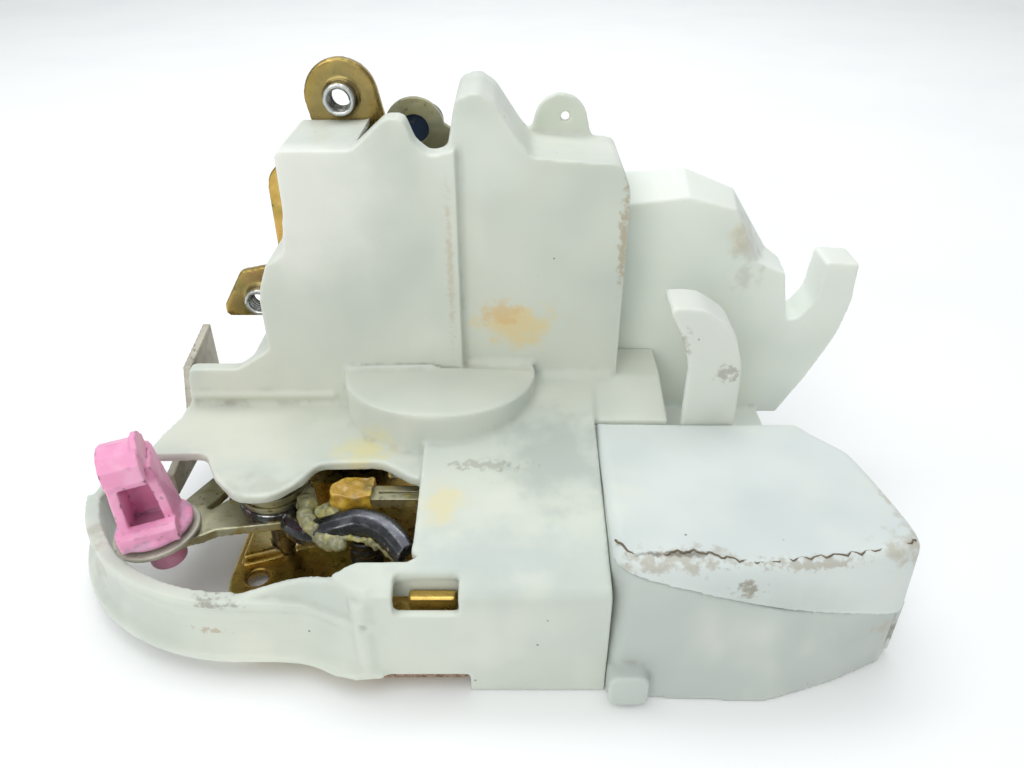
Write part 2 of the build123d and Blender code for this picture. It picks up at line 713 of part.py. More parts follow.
def deck_profile(inset):
    """Section of the deck and front wall, as Y and Z; inset gives the inner side."""
    top = -inset
    back = MIDDLE_PANEL_Y + WALL + inset
    foot = -inset
    return rounded(
        [
            (inset, foot),
            (inset, FRONT_EDGE_Z + top * 0.8),
            (STEP_Y, STEP_Z + top),
            (MID_Y, MID_Z + top),
            (MIDDLE_PANEL_Y, CREASE_Z + top),
            (back, CREASE_Z + top),
            (back, foot),
        ],
        [0, 3, 4, 10, 1.0, 0, 0],
    )


def left_deck_outline():
    """Flat deck with the tongue at the left, the round lobe and the window's upper edge."""
    back = LEFT_PANEL_Y + WALL
    return rounded(
        [
            (WING_X, back),
            (WING_X - 0.7, LEFT_PANEL_Y - 6.5),
            (WING_X - 2.8, LEFT_PANEL_Y - 14),
            (WING_X - 1.1, LEFT_PANEL_Y - 20),
            (WING_X + 10, LEFT_PANEL_Y - 19.5),
            (PIVOT_X - 10.5, PIVOT_Y - 6),
            (PIVOT_X - 4, PIVOT_Y - 13),
            (PIVOT_X + 3.5, PIVOT_Y - 13),
            (PIVOT_X + 9, PIVOT_Y - 7),
            (PIVOT_X + 11, PIVOT_Y - 1.5),
            (PIVOT_X + 25, PIVOT_Y - 1.5),
            (WINDOW_X - 2, PIVOT_Y - 7),
            (WINDOW_X + WALL, PIVOT_Y - 7.2),
            (WINDOW_X + WALL, back),
        ],
        [0, 2, 3, 2, 3, 6, 6, 6, 4, 3, 6, 4, 0, 0],
    )


def bulge_outline(inset):
    """Half-oval bulge, as X and Y."""
    oval = Pos(BULGE_X, LEFT_PANEL_Y) * Ellipse(BULGE_RX - inset, BULGE_RY - inset)
    half = Pos(BULGE_X, LEFT_PANEL_Y - BULGE_RY) * Rectangle(3 * BULGE_RX, 2 * BULGE_RY + 2 * WALL)
    return oval & half


def guard_path():
    """Lead-in of the guard from the front wall, as X and Y on the guard's outer side."""
    low = GUARD_Y - GUARD_R
    return [(GUARD_X, low), (GUARD_X + 14, low - 0.4), (COLUMN_X - 3, 2.4), (COLUMN_X + 3, 0.0)]


def guard_band(inner, outer):
    """Plan of the guard between two offsets from its outer side, inner one positive inward."""
    ring = disc(GUARD_X, GUARD_Y, GUARD_R + outer) - disc(GUARD_X, GUARD_Y, GUARD_R - inner)
    ring &= sector(GUARD_X, GUARD_Y, 2 * GUARD_R, GUARD_END_ANGLE, 270)
    path = guard_path()
    far_side = [(x, y - outer) for x, y in path[:-1]] + [(path[-1][0], path[-1][1] - outer * 0.25)]
    near_side = [(x, y + inner) for x, y in reversed(path)]
    return ring + make_face(Polyline(*far_side, *near_side, close=True))


def guard():
    """Round guard with a wall, an outstanding lower lip and a small upper lip."""
    wall = flat(guard_band(WALL, 0), GUARD_Z, STEP_Z)
    lower = flat(guard_band(WALL, GUARD_LIP), GUARD_Z, GUARD_Z + WALL)
    upper = flat(guard_band(WALL, GUARD_BROW), GUARD_TOP_Z - WALL, GUARD_TOP_Z)
    far = GUARD_X - 2 * GUARD_R
    trim = rounded(
        [
            (far, GUARD_TOP_Z),
            (GUARD_X + 6, GUARD_TOP_Z),
            (COLUMN_X, FRONT_EDGE_Z - 1.5),
            (WINDOW_X, FRONT_EDGE_Z + 1),
            (WINDOW_X, 2 * STEP_Z),
            (far, 2 * STEP_Z),
        ],
        [0, 20, 6, 0, 0, 0],
    )
    wall -= upright(trim, -10, PLATE_Y)
    end = math.radians(GUARD_END_ANGLE)
    end_x = GUARD_X + GUARD_R * math.cos(end)
    end_y = GUARD_Y + GUARD_R * math.sin(end)
    tongue_x = WING_X - 2.0
    strut = rounded(
        [
            (end_x, GUARD_Z),
            (end_x, GUARD_TOP_Z),
            (tongue_x, DECK_Z),
            (tongue_x + 3, DECK_Z),
            (tongue_x + 3, DECK_Z - WALL),
            (tongue_x, DECK_Z - WALL - 0.6),
            (end_x + WALL, GUARD_TOP_Z - 1),
            (end_x + WALL, GUARD_Z),
        ],
        [0, 3, 2, 0, 0, 2, 2, 0],
    )
    strut_solid = upright(strut, end_y - 2 * GAP, end_y + 5)
    return wall + lower + upper + strut_solid


def shelf():
    """Narrow sloping shelf along the top of the front wall under the window."""
    plate = rounded(
        [
            (0, FRONT_EDGE_Z - WALL * 1.6),
            (0, FRONT_EDGE_Z),
            (STEP_Y, STEP_Z),
            (STEP_Y, STEP_Z - WALL),
            (WALL, FRONT_EDGE_Z - WALL * 1.2),
        ],
        [0, 1.5, 0.6, 0.6, 0],
    )
    right = WINDOW_X + 1
    plan = make_face(
        Polyline((right, 0), (right, STEP_Y), (WINDOW_X, STEP_Y), (COLUMN_X, 4.5), (COLUMN_X, 0), close=True)
    )
    return sideways(plate, COLUMN_X, right) & flat(plan, 0, STEP_Z + 1)


def rear_deck():
    """Deck behind the actuator box, reaching back to the harness shield."""
    profile = make_face(
        Polyline(
            (BOX_BACK_Y, CREASE_Z - 3.4 - WALL),
            (BOX_BACK_Y, CREASE_Z - 3.4),
            (MIDDLE_PANEL_Y, CREASE_Z),
            (SHIELD_Y, CREASE_Z),
            (SHIELD_Y, CREASE_Z - WALL),
            (MIDDLE_PANEL_Y, CREASE_Z - WALL),
            close=True,
        )
    )
    return sideways(profile, BOX_LEFT_X - WALL, DECK_RIGHT_X)


def rack_guide():
    """Forked rib under the deck that guides the rack."""
    x = GUIDE_X
    low = RACK_Z - 3.0
    rib = block(x, x + WALL, RACK_LEFT_Y - 6, RACK_LEFT_Y + 5, low, MID_Z - WALL)
    half = RACK_WIDTH / 2 + 2 * GAP
    gap = block(x - 1, x + WALL + 1, rack_y(x) - half, rack_y(x) + half, low - 1, RACK_Z + RACK_T + GAP)
    return rib - gap


def ear():
    """Domed ear with a small hole at the back edge of the top."""
    face = link(EAR_X, EAR_Z, EAR_R, EAR_X, MIDDLE_TOP_Z - 4, EAR_R + 1.5)
    face -= disc(EAR_X + 1, EAR_Z + 1, EAR_HOLE_R)
    return upright(face, PLATE_Y - EAR_T, PLATE_Y)


def latch_cover():
    """Main moulding: two tall panels, decks, bulge, front wall, window and guard."""
    left = left_panel_outline()
    middle = middle_panel_outline()
    cover = upright(left, LEFT_PANEL_Y, PLATE_Y) + upright(middle, MIDDLE_PANEL_Y, PLATE_Y)
    cover += sideways(deck_profile(0), WINDOW_X, BOX_LEFT_X)
    deck = flat(left_deck_outline(), DECK_Z - DECK_SKIRT, DECK_Z)
    deck -= flat(offset(left_deck_outline(), -WALL), 0, DECK_Z - WALL)
    cover += deck
    cover += flat(bulge_outline(0), DECK_Z - WALL, BULGE_Z)

    inside = upright(offset(left, -WALL), LEFT_PANEL_Y + WALL, PLATE_Y + 1)
    inside += upright(offset(middle, -WALL), MIDDLE_PANEL_Y + WALL, PLATE_Y + 1)
    room_y = MIDDLE_PANEL_Y + WALL
    split = PANEL_SPLIT_X
    inside += block(split - WALL, split + 2 * WALL, room_y, PLATE_Y + 1, 0, LEFT_TOP_Z - 2 * WALL)
    inside += block(WING_X + WALL, RIGHT_PANEL_X - WALL, room_y, PLATE_Y + 1, 0, DECK_Z + WALL)
    inside += block(WING_X + WALL, split, LEFT_PANEL_Y + WALL, PLATE_Y + 1, 0, DECK_Z + WALL)
    inside += sideways(deck_profile(WALL), WINDOW_X + WALL, BOX_LEFT_X + 1)
    inside += block(WINDOW_X - 1, WINDOW_X + 2 * WALL, WALL, LEFT_PANEL_Y, -1, DECK_Z - DECK_SKIRT)
    inside += flat(bulge_outline(WALL), 0, BULGE_Z - WALL)
    cover -= inside

    ring_room = RING_R + 2 * WALL
    ring_front = LEFT_PANEL_Y + 3 * WALL
    cover -= block(RING_X - ring_room, split, ring_front, PLATE_Y + 1, RING_Z - ring_room, LEFT_PEAK_Z + 1)
    arm_front = RING_Y - WALL
    arm_top = RING_PIN_Z + 2 * (RING_R + WALL)
    cover -= block(split - 1, split + WALL + 1, arm_front, PLATE_Y + 1, RING_PIN_Z, arm_top)
    cover += rear_deck()
    cover += shelf()
    foot = LEG_TOP_Z + GAP
    cover += block(COLUMN_X, WINDOW_X + WALL, 0, WALL, foot, FRONT_EDGE_Z - WALL)
    cover += guard()
    cover += ear()
    cover += rack_guide()
    column = link(COLUMN_X, COLUMN_R - 0.6, COLUMN_R, COLUMN_X, WALL, 1.2)
    cover += flat(column, foot, FRONT_EDGE_Z - 2)
    left_x = SNAP_WINDOW_X - SNAP_WINDOW_WIDTH / 2
    right_x = SNAP_WINDOW_X + SNAP_WINDOW_WIDTH / 2
    cover -= block(left_x, right_x, -5, STEP_Y - 2, SNAP_WINDOW_Z, SNAP_WINDOW_TOP_Z)
    cover -= pin_along_y(COLUMN_X, GUARD_TOP_Z, COLUMN_HOLE_R, -6, 0.6)
    bracket_front = PLATE_Y - BRACKET_T - RIVET_HEAD_T - GAP
    cover -= block(WING_X - 1, BODY_LEFT_X, bracket_front, PLATE_Y + 1, BRACKET_FOOT_Z, BRACKET_TOP_Z + GAP)
    return cover - block(COLUMN_X + 2, LEG_FOOT_X + GAP, -1, WALL + 1, -1, foot)


# ================================================================ actuator box
def box_outline(swell, inset):
    """Outline of the actuator box, as X and Y; swell moves the front out."""
    i = inset
    front = BOX_FRONT_Y - swell
    corner = 1.2 + 5.8 * (1 - swell / BOX_SWELL)
    return rounded(
        [
            (BOX_LEFT_X + i, BOX_BACK_Y - i),
            (BOX_LEFT_X + i, front + 1.6 + i),
            (BOX_LEFT_X + 15, front + 0.6 + i),
            (BOX_LEFT_X + 32, front + i),
            (BOX_RIGHT_X - 13, BOX_FRONT_Y + 2.6 - swell * 0.45 + i),
            (BOX_RIGHT_X - i, BOX_FRONT_Y + 6.6 + i),
            (BOX_RIGHT_X - 0.5 - i, BOX_FRONT_Y + 14),
            (BOX_RIGHT_X - 5 - i, BOX_BACK_Y - 9 - i * 0.6),
            (BOX_RIGHT_X - 13 - i * 0.4, BOX_BACK_Y - i),
        ],
        [2.5 - i, max(corner - i, 0.4), 8, 14, 20, 3.5 - i, 4, 5, 3],
    )


def box_block(inset, z0, z1):
    """The box's form between two heights, ruled between its foot and its top."""
    foot = Pos(0, 0, z0) * box_outline(BOX_SWELL, inset)
    top = Pos(0, 0, z1) * box_outline(0, inset)
    return loft([foot, top], ruled=True)


def parting(above):
    """Everything above or below the sloping joint between case and lid."""
    left = BOX_LEFT_X - 1
    right = BOX_RIGHT_X + 5
    edge_z = 2 * BOX_TOP_Z if above else -BOX_TOP_Z
    face = make_face(
        Polyline(
            (left, PARTING_LEFT_Z + PARTING_DROP),
            (right, PARTING_LEFT_Z - PARTING_DROP * (right - BOX_LEFT_X)),
            (right, edge_z),
            (left, edge_z),
            close=True,
        )
    )
    return upright(face, -20, BOX_BACK_Y + 20)


def box_shell():
    """The closed shell of the box before it is parted into case and lid."""
    shell = box_block(0, 0, BOX_TOP_Z)
    return shell - (box_block(WALL, 0, BOX_TOP_Z) & block(0, 100, -20, 80, WALL, BOX_TOP_Z - WALL))


def screw_places():
    """Screws that hold the case to the lid, as X and Y."""
    return [
        (BOX_LEFT_X + 6.5, BOX_FRONT_Y + 7.5),
        (WHEEL_X + WHEEL_R + 6, BOX_BACK_Y - 6.5),
        (BOX_RIGHT_X - 14, BOX_BACK_Y - 9.5),
    ]


def rack_port(margin):
    """Port in the left wall that the rack passes through."""
    y = rack_y(BOX_LEFT_X)
    half = RACK_WIDTH / 2 + margin
    low = RACK_Z - margin
    high = RACK_Z + RACK_T + margin
    return block(BOX_LEFT_X - 1, BOX_LEFT_X + WALL + 1, y - half, y + half, low, high)


def actuator_case():
    """Lower half of the box: motor cradles, wheel boss, screw bosses, bump and lug."""
    case = box_shell() & parting(False)
    for x in (MOTOR_X + 4, MOTOR_X + MOTOR_LENGTH - 6):
        cradle = block(x, x + 2, BOX_FRONT_Y + 1, MOTOR_Y + MOTOR_R + 2, WALL / 2, MOTOR_Z - 2)
        case += cradle - pin_along_x(MOTOR_Y, MOTOR_Z, MOTOR_R + GAP, x - 1, x + 3)
    case += post(WHEEL_X, WHEEL_Y, WHEEL_PIN_R + 2.5, WALL / 2, WHEEL_Z - SLIP)
    case -= post(WHEEL_X, WHEEL_Y, WHEEL_PIN_R, WALL, WHEEL_Z + 1)
    for x, y in screw_places():
        case += post(x, y, SCREW_HEAD_R + 1, WALL / 2, BOX_TOP_Z / 2)
        case -= post(x, y, SCREW_R, -1, BOX_TOP_Z)
        case -= post(x, y, SCREW_HEAD_R, -1, 2 * WALL)
    bump = rounded(
        [
            (BUMP_X - BUMP_WIDTH / 2, 0.8),
            (BUMP_X + BUMP_WIDTH / 2, 0.8),
            (BUMP_X + BUMP_WIDTH / 2, BUMP_Z),
            (BUMP_X - BUMP_WIDTH / 2, BUMP_Z),
        ],
        2.2,
    )
    case += upright(bump, BOX_FRONT_Y - BOX_SWELL - BUMP_OUT, BOX_FRONT_Y)
    lug_x = BOX_RIGHT_X - WALL
    case += block(lug_x, lug_x + 3.4, BOX_FRONT_Y + 8.5, BOX_FRONT_Y + 11, 0.6, LUG_TOP_Z)
    return case - rack_port(2 * GAP)


def actuator_lid():
    """Upper half of the box with the guide posts over the screws."""
    lid = box_shell() & parting(True)
    for x, y in screw_places():
        boss = post(x, y, SCREW_HEAD_R, BOX_TOP_Z / 2 + GAP, BOX_TOP_Z - WALL / 2)
        lid += boss - post(x, y, SCREW_R, 0, BOX_TOP_Z - 3 * WALL)
    lid += post(WHEEL_X, WHEEL_Y, WHEEL_PIN_R + 1.5, wheel_pin_top() + GAP, BOX_TOP_Z - WALL / 2)
    return lid


def case_screws():
    """Self-tapping screws from below."""
    screws = Part()
    for x, y in screw_places():
        screw = post(x, y, SCREW_R - FIT, WALL, BOX_TOP_Z - 4 * WALL)
        screw += post(x, y, SCREW_HEAD_R - GAP, WALL / 2, 2 * WALL)
        screws += screw - block(x - 2.0, x + 2.0, y - 0.4, y + 0.4, 0, WALL / 2 + 0.6)
    return screws


# ================================================================ motor and gears
def motor_can():
    """Steel can with two flats and a bearing boss."""
    end = MOTOR_X + MOTOR_LENGTH
    half = MOTOR_FLAT / 2
    can = pin_along_x(MOTOR_Y, MOTOR_Z, MOTOR_R, MOTOR_X, end)
    can &= block(MOTOR_X, end, MOTOR_Y - MOTOR_R, MOTOR_Y + MOTOR_R, MOTOR_Z - half, MOTOR_Z + half)
    can += pin_along_x(MOTOR_Y, MOTOR_Z, BEARING_R, MOTOR_X - BEARING_LENGTH, MOTOR_X)
    return can - pin_along_x(MOTOR_Y, MOTOR_Z, SHAFT_R + FIT, MOTOR_X - BEARING_LENGTH - 1, MOTOR_X + 10)


def motor_end_cap():
    """Plastic cap that closes the can."""
    start = MOTOR_X + MOTOR_LENGTH
    end = start + CAP_T
    radius = MOTOR_R - 2 * GAP
    half = MOTOR_FLAT / 2 - GAP
    cap = pin_along_x(MOTOR_Y, MOTOR_Z, radius, start, end)
    return cap & block(start, end, MOTOR_Y - radius, MOTOR_Y + radius, MOTOR_Z - half, MOTOR_Z + half)


def motor_terminals():
    """Two contact blades on the end cap."""
    start = MOTOR_X + MOTOR_LENGTH + CAP_T
    blades = Part()
    for y in (MOTOR_Y - 5, MOTOR_Y + 5):
        blades += block(start, start + TERMINAL_LENGTH, y - 1.5, y + 1.5, MOTOR_Z - 0.3, MOTOR_Z + 0.3)
    return blades


def motor_shaft():
    """Rotor shaft from inside the can to the end of the worm."""
    return pin_along_x(MOTOR_Y, MOTOR_Z, SHAFT_R, MOTOR_X - BEARING_LENGTH - WORM_LENGTH - 3, MOTOR_X + 9)


def worm():
    """Worm blank on the motor shaft with a collar at each end."""
    end = MOTOR_X - BEARING_LENGTH - GAP
    start = end - WORM_LENGTH
    body = pin_along_x(MOTOR_Y, MOTOR_Z, WORM_R, start + 1, end - 1)
    body += pin_along_x(MOTOR_Y, MOTOR_Z, WORM_R - 1, start, end)
    return body - pin_along_x(MOTOR_Y, MOTOR_Z, SHAFT_R + 0.02, start - 1, end + 1)


def wheel_pin_top():
    """Upper end of the worm wheel's pin."""
    return RACK_Z + RACK_T + 1.5


def worm_wheel():
    """Worm wheel with its pinion, moulded in one piece and turning on one pin."""
    disc_face = toothed_disc(WHEEL_R, TOOTH_DEPTH, WHEEL_TEETH, 0.5)
    wheel = flat(Pos(WHEEL_X, WHEEL_Y) * disc_face, WHEEL_Z, WHEEL_Z + WHEEL_T)
    ring = disc(WHEEL_X, WHEEL_Y, WHEEL_R - TOOTH_DEPTH - 1.5) - disc(WHEEL_X, WHEEL_Y, PINION_R + 0.5)
    wheel -= flat(ring, WHEEL_Z + WHEEL_T - 1.5, WHEEL_Z + WHEEL_T)
    pinion = toothed_disc(PINION_R + 0.5 * MODULE, 1.4 * MODULE, PINION_TEETH, 0.36)
    wheel += flat(Pos(WHEEL_X, WHEEL_Y) * pinion, WHEEL_Z + WHEEL_T, RACK_Z + RACK_T + SLIP)
    return wheel - post(WHEEL_X, WHEEL_Y, WHEEL_PIN_R + FIT, WHEEL_Z - 1, RACK_Z + 2 * RACK_T)


def wheel_pin():
    """Fixed pin of the worm wheel."""
    return post(WHEEL_X, WHEEL_Y, WHEEL_PIN_R, WALL, wheel_pin_top())


def rack_y(x):
    """Middle of the rack bar at x: the bar steps over from the window to the pinion."""
    right_y = RACK_LINE_Y - 0.9 * MODULE - RACK_WIDTH / 2
    share = min(max((x - RACK_STEP_X) / RACK_STEP, 0.0), 1.0)
    return RACK_LEFT_Y + (right_y - RACK_LEFT_Y) * share


def lock_rack():
    """Flat bar with teeth at its right end and the block's seat at its left end."""
    right_y = rack_y(BOX_LEFT_X)
    end_x = MOTOR_X - RACK_END_ROOM + GAP - RACK_TRAVEL
    step_end_x = RACK_STEP_X + RACK_STEP
    path = [(RACK_LEFT_X, RACK_LEFT_Y), (RACK_STEP_X, RACK_LEFT_Y), (step_end_x, right_y), (end_x, right_y)]
    bar = flat(band(path, RACK_WIDTH, 4.0), RACK_Z, RACK_Z + RACK_T)
    root_y = right_y + RACK_WIDTH / 2
    half_root = 0.9 * MODULE
    half_tip = 0.3 * MODULE
    tip_y = 1.4 * MODULE
    tooth = make_face(
        Polyline((-half_root, -0.2), (-half_tip, tip_y), (half_tip, tip_y), (half_root, -0.2), close=True)
    )
    pitch = math.pi * MODULE
    before = 1 + math.ceil(RACK_TRAVEL / pitch)
    for i in range(-before, 2):
        bar += flat(Pos(WHEEL_X + i * pitch, root_y) * tooth, RACK_Z, RACK_Z + RACK_T)
    half = GROOVE_WIDTH / 2
    groove = block(
        RACK_LEFT_X + 4, RACK_STEP_X - 6, RACK_LEFT_Y - half, RACK_LEFT_Y + half,
        RACK_Z + RACK_T - GROOVE_DEPTH, RACK_Z + RACK_T + 1,
    )
    return bar - groove


def resin_block():
    """Moulded block on the rack's left end that blocks the release arm."""
    right = RACK_LEFT_X + 3
    left = right - BLOCK_LENGTH
    face = rounded(
        [
            (left, BLOCK_Y),
            (right, BLOCK_Y),
            (right, BLOCK_Y + BLOCK_WIDTH),
            (left + 3, BLOCK_Y + BLOCK_WIDTH),
            (left, BLOCK_Y + BLOCK_WIDTH - 3),
        ],
        [2, 2, 1.5, 1.5, 1.5],
    )
    body = flat(face, BLOCK_Z, BLOCK_Z + BLOCK_HEIGHT)
    body += post((left + right) / 2, BLOCK_Y + BLOCK_WIDTH / 2, 2.0, BLOCK_Z - 1.6, BLOCK_Z)
    half = RACK_WIDTH / 2
    return body - block(
        RACK_LEFT_X, right + 1, RACK_LEFT_Y - half, RACK_LEFT_Y + half, RACK_Z, RACK_Z + RACK_T
    )


# ================================================================ release lever
def release_lever():
    """Flat two-armed lever on the stud; its long arm carries the rod clip."""
    elbow = (CLIP_X + LEVER_ELBOW[0], CLIP_Y + LEVER_ELBOW[1], LEVER_ELBOW_R)
    tail = (CLIP_X + LEVER_TAIL[0], CLIP_Y + LEVER_TAIL[1], LEVER_TAIL_R)
    face = link(PIVOT_X, PIVOT_Y, LEVER_HUB_R, *elbow)
    face += link(*elbow, CLIP_X, CLIP_Y, LEVER_EYE_R)
    face += link(CLIP_X + 2, CLIP_Y + 2, LEVER_ELBOW_R, *tail)
    face -= disc(PIVOT_X, PIVOT_Y, STUD_R + FIT)
    face -= disc(CLIP_X, CLIP_Y, CLIP_STEM_R + FIT)
    return flat(face, LEVER_Z, LEVER_Z + LEVER_T)


def arm_path():
    """Middle line of the curved arm, as X and Y, from shares of its reach and drop."""
    shares = [(0.16, 0.24), (0.29, 0.54), (0.55, 0.73), (0.81, 0.76), (1.0, 1.0)]
    return [(PIVOT_X + ARM_REACH * x, PIVOT_Y - ARM_DROP * y) for x, y in shares]


def curved_arm():
    """Arm on the lever's hub with an upstanding flange along its curve."""
    face = disc(PIVOT_X, PIVOT_Y, LEVER_HUB_R) + band(arm_path(), ARM_WIDTH, ARM_BEND_R)
    face -= disc(PIVOT_X, PIVOT_Y, STUD_R + FIT)
    arm = flat(face, ARM_Z, ARM_Z + ARM_T)
    flange = band(arm_path()[1:], ARM_T, ARM_BEND_R)
    return arm + flat(flange, ARM_Z, ARM_Z + ARM_HEIGHT)


def pivot_drum():
    """Round drum on top of the two arms."""
    drum = post(PIVOT_X, PIVOT_Y, DRUM_R, DRUM_Z, DRUM_Z + DRUM_T)
    groove = disc(PIVOT_X, PIVOT_Y, DRUM_R + 1) - disc(PIVOT_X, PIVOT_Y, DRUM_R - 0.8)
    drum -= flat(groove, DRUM_Z + 1.4, DRUM_Z + 2.2)
    return drum - post(PIVOT_X, PIVOT_Y, STUD_R + FIT, DRUM_Z - 1, DRUM_Z + DRUM_T + 1)


def lever_stud():
    """Stud riveted into the leg; its head holds lever, arm and drum."""
    shoulder = LEVER_Z - SLIP
    head = DRUM_Z + DRUM_T + SLIP
    stud = post(PIVOT_X, PIVOT_Y, STUD_R, LEG_Z, head)
    stud += post(PIVOT_X, PIVOT_Y, STUD_R + 1.2, shoulder - 1.5, shoulder)
    return stud + post(PIVOT_X, PIVOT_Y, STUD_HEAD_R, head, head + 1.3)


def return_spring():
    """Coil round the stud under the lever."""
    low = LEG_TOP_Z + GAP + RETURN_WIRE / 2
    high = LEVER_Z - 2 * GAP - RETURN_WIRE / 2
    return Pos(PIVOT_X, PIVOT_Y, low) * coil(RETURN_COIL_R, RETURN_WIRE, high - low, 4.5)


def clip_washer():
    """Steel washer under the rod clip."""
    face = disc(CLIP_X, CLIP_Y, WASHER_R) - disc(CLIP_X, CLIP_Y, CLIP_STEM_R + FIT)
    return flat(face, WASHER_Z, WASHER_Z + WASHER_T)


def rod_clip():
    """Plastic clip: stub, stem, flange, open channel and the round seat for the rod."""
    clip = post(CLIP_X, CLIP_Y, CLIP_STEM_R, LEVER_Z - SLIP, CLIP_Z)
    clip += post(CLIP_X, CLIP_Y, CLIP_STUB_R, LEVER_Z - SLIP - CLIP_STUB_LENGTH, LEVER_Z - SLIP)
    clip += post(CLIP_X, CLIP_Y, CLIP_FLANGE_R, CLIP_Z, CLIP_Z + 3.4)
    half = CLIP_FLANGE_R - 1.0
    seat_z = CLIP_Z + CLIP_HEIGHT - ROD_R - 1.6
    seat_y = CLIP_Y + 2.0
    profile = rounded(
        [
            (CLIP_Y - 5.5, CLIP_Z + 2),
            (CLIP_Y + 5.5, CLIP_Z + 2),
            (seat_y + ROD_R + 1.6, seat_z),
            (seat_y + ROD_R + 1.6, seat_z + ROD_R + 1.6),
            (seat_y - ROD_R - 1.6, seat_z + ROD_R + 1.6),
            (seat_y - ROD_R - 1.6, seat_z - 2),
        ],
        [1, 1, 0.5, 3.4, 3.4, 2],
    )
    clip += sideways(profile, CLIP_X - half, CLIP_X + half)
    room = half - CLIP_WALL
    clip -= block(CLIP_X - room, CLIP_X + room, CLIP_Y - 8, CLIP_Y + 2.6, CLIP_Z + 4.4, seat_z - ROD_R - 1.4)
    clip -= pin_along_x(seat_y, seat_z, ROD_R, CLIP_X - half - 1, CLIP_X + half + 1)
    mouth = 0.8 * ROD_R
    left = CLIP_X - half - 1
    right = CLIP_X + half + 1
    return clip - block(left, right, seat_y - 2 * ROD_R - 3, seat_y, seat_z - mouth, seat_z + mouth)


# ================================================================ bracket, bumper, shield and hood
def bracket_rivet_places():
    """Rivets between side bracket and face plate, as X and Z."""
    middle = (BRACKET_FOOT_Z + BRACKET_TOP_Z) / 2
    return [(PLATE_LEFT_X - 4, middle - 4), (PLATE_LEFT_X - 4, middle + 4)]


def side_bracket():
    """Grey bracket: an upright side flange and a foot riveted in front of the face plate."""
    flange = rounded(
        [
            (LEFT_PANEL_Y + 6.7, BRACKET_TOP_Z),
            (PLATE_Y, BRACKET_TOP_Z),
            (PLATE_Y, BRACKET_FOOT_Z),
            (LEFT_PANEL_Y + 4, BRACKET_LOW_Z),
            (BRACKET_FRONT_Y, BRACKET_LOW_Z),
            (BRACKET_FRONT_Y, BRACKET_LOW_Z + 6),
            (LEFT_PANEL_Y, BRACKET_LOW_Z + 9),
        ],
        [1.5, 0, 0, 5, 2, 2, 6],
    )
    bracket = sideways(flange, BRACKET_X, BRACKET_X + BRACKET_T)
    right = BODY_LEFT_X - GAP
    foot = rounded(
        [
            (BRACKET_X, BRACKET_FOOT_Z),
            (right, BRACKET_FOOT_Z),
            (right, BRACKET_TOP_Z),
            (BRACKET_X, BRACKET_TOP_Z),
        ],
        [0, 3, 3, 0],
    )
    bracket += upright(foot, PLATE_Y - BRACKET_T, PLATE_Y)
    for x, z in bracket_rivet_places():
        bracket -= pin_along_y(x, z, RIVET_R, PLATE_Y - BRACKET_T - 1, PLATE_Y + 1)
    return bracket


def bracket_rivets():
    """Two rivets with round heads in front, flush with the back of the face plate."""
    rivets = Part()
    front = PLATE_Y - BRACKET_T
    for x, z in bracket_rivet_places():
        rivets += pin_along_y(x, z, RIVET_R, front, PLATE_BACK_Y)
        rivets += pin_along_y(x, z, RIVET_R * 1.6, front - RIVET_HEAD_T, front)
    return rivets


def stop_bumper():
    """Rubber stop pressed into the leg."""
    bumper = post(BUMPER_X, BUMPER_Y, BUMPER_R, LEG_TOP_Z, LEG_TOP_Z + BUMPER_HEIGHT)
    bumper = fillet(bumper.edges().group_by(Axis.Z)[-1], BUMPER_R * 0.4)
    return bumper + post(BUMPER_X, BUMPER_Y, BUMPER_R / 2, LEG_Z, LEG_TOP_Z)


def shield_outline(back, inset):
    """Outline of the harness shield without its hook, as X and Z, at the front or the back."""
    i = inset
    rise = 5.0 if back else 0.0
    reach = 4.5 if back else 0.0
    return make_face(
        Polyline(
            (RIGHT_PANEL_X + i, SHIELD_FOOT_Z + i),
            (RIGHT_PANEL_X + i, SHIELD_TOP_Z - 1 + rise - i),
            (RIGHT_PANEL_X + 15.6, SHIELD_TOP_Z + 1 + rise * 0.8 - i),
            (RIGHT_PANEL_X + 27 + reach * 0.2 - i * 0.5, SHIELD_TOP_Z - 2 + rise * 0.4 - i),
            (RIGHT_PANEL_X + 33.6 + reach - i, SHIELD_TOP_Z - 15 - i * 0.4),
            (RIGHT_PANEL_X + 41 + reach * 0.2 - i, SHIELD_TOP_Z - 18 - i),
            (RIGHT_PANEL_X + 43.2 - i, SHIELD_TOP_Z - 29),
            (RIGHT_PANEL_X + 46 - i, SHIELD_FOOT_Z + i),
            close=True,
        )
    )


def shield_loft(y0, y1, inset):
    """The shield's form between two depths; it grows wider and higher to the back."""
    front = Plane.XZ.offset(-y0) * shield_outline(False, inset)
    back = Plane.XZ.offset(-y1) * shield_outline(True, inset)
    return loft([front, back], ruled=True)


def hook_outline():
    """Curved hook at the right of the shield, as X and Z."""
    return rounded(
        [
            (RIGHT_PANEL_X + 41, SHIELD_FOOT_Z),
            (RIGHT_PANEL_X + 45.8, SHIELD_FOOT_Z),
            (HOOK_X - 11, SHIELD_FOOT_Z + 11.5),
            (HOOK_X - 5.6, SHIELD_FOOT_Z + 24),
            (HOOK_X - 4.0, SHIELD_FOOT_Z + 33),
            (HOOK_X - 4.2, HOOK_TOP_Z),
            (HOOK_X - 12.2, HOOK_TOP_Z + 0.4),
            (HOOK_X - 13.2, HOOK_TOP_Z - 10),
            (HOOK_X - 16.4, HOOK_TOP_Z - 15),
            (HOOK_X - 21, HOOK_TOP_Z - 15),
        ],
        [0, 2, 30, 30, 12, 0.8, 0.8, 6, 3, 2],
    )


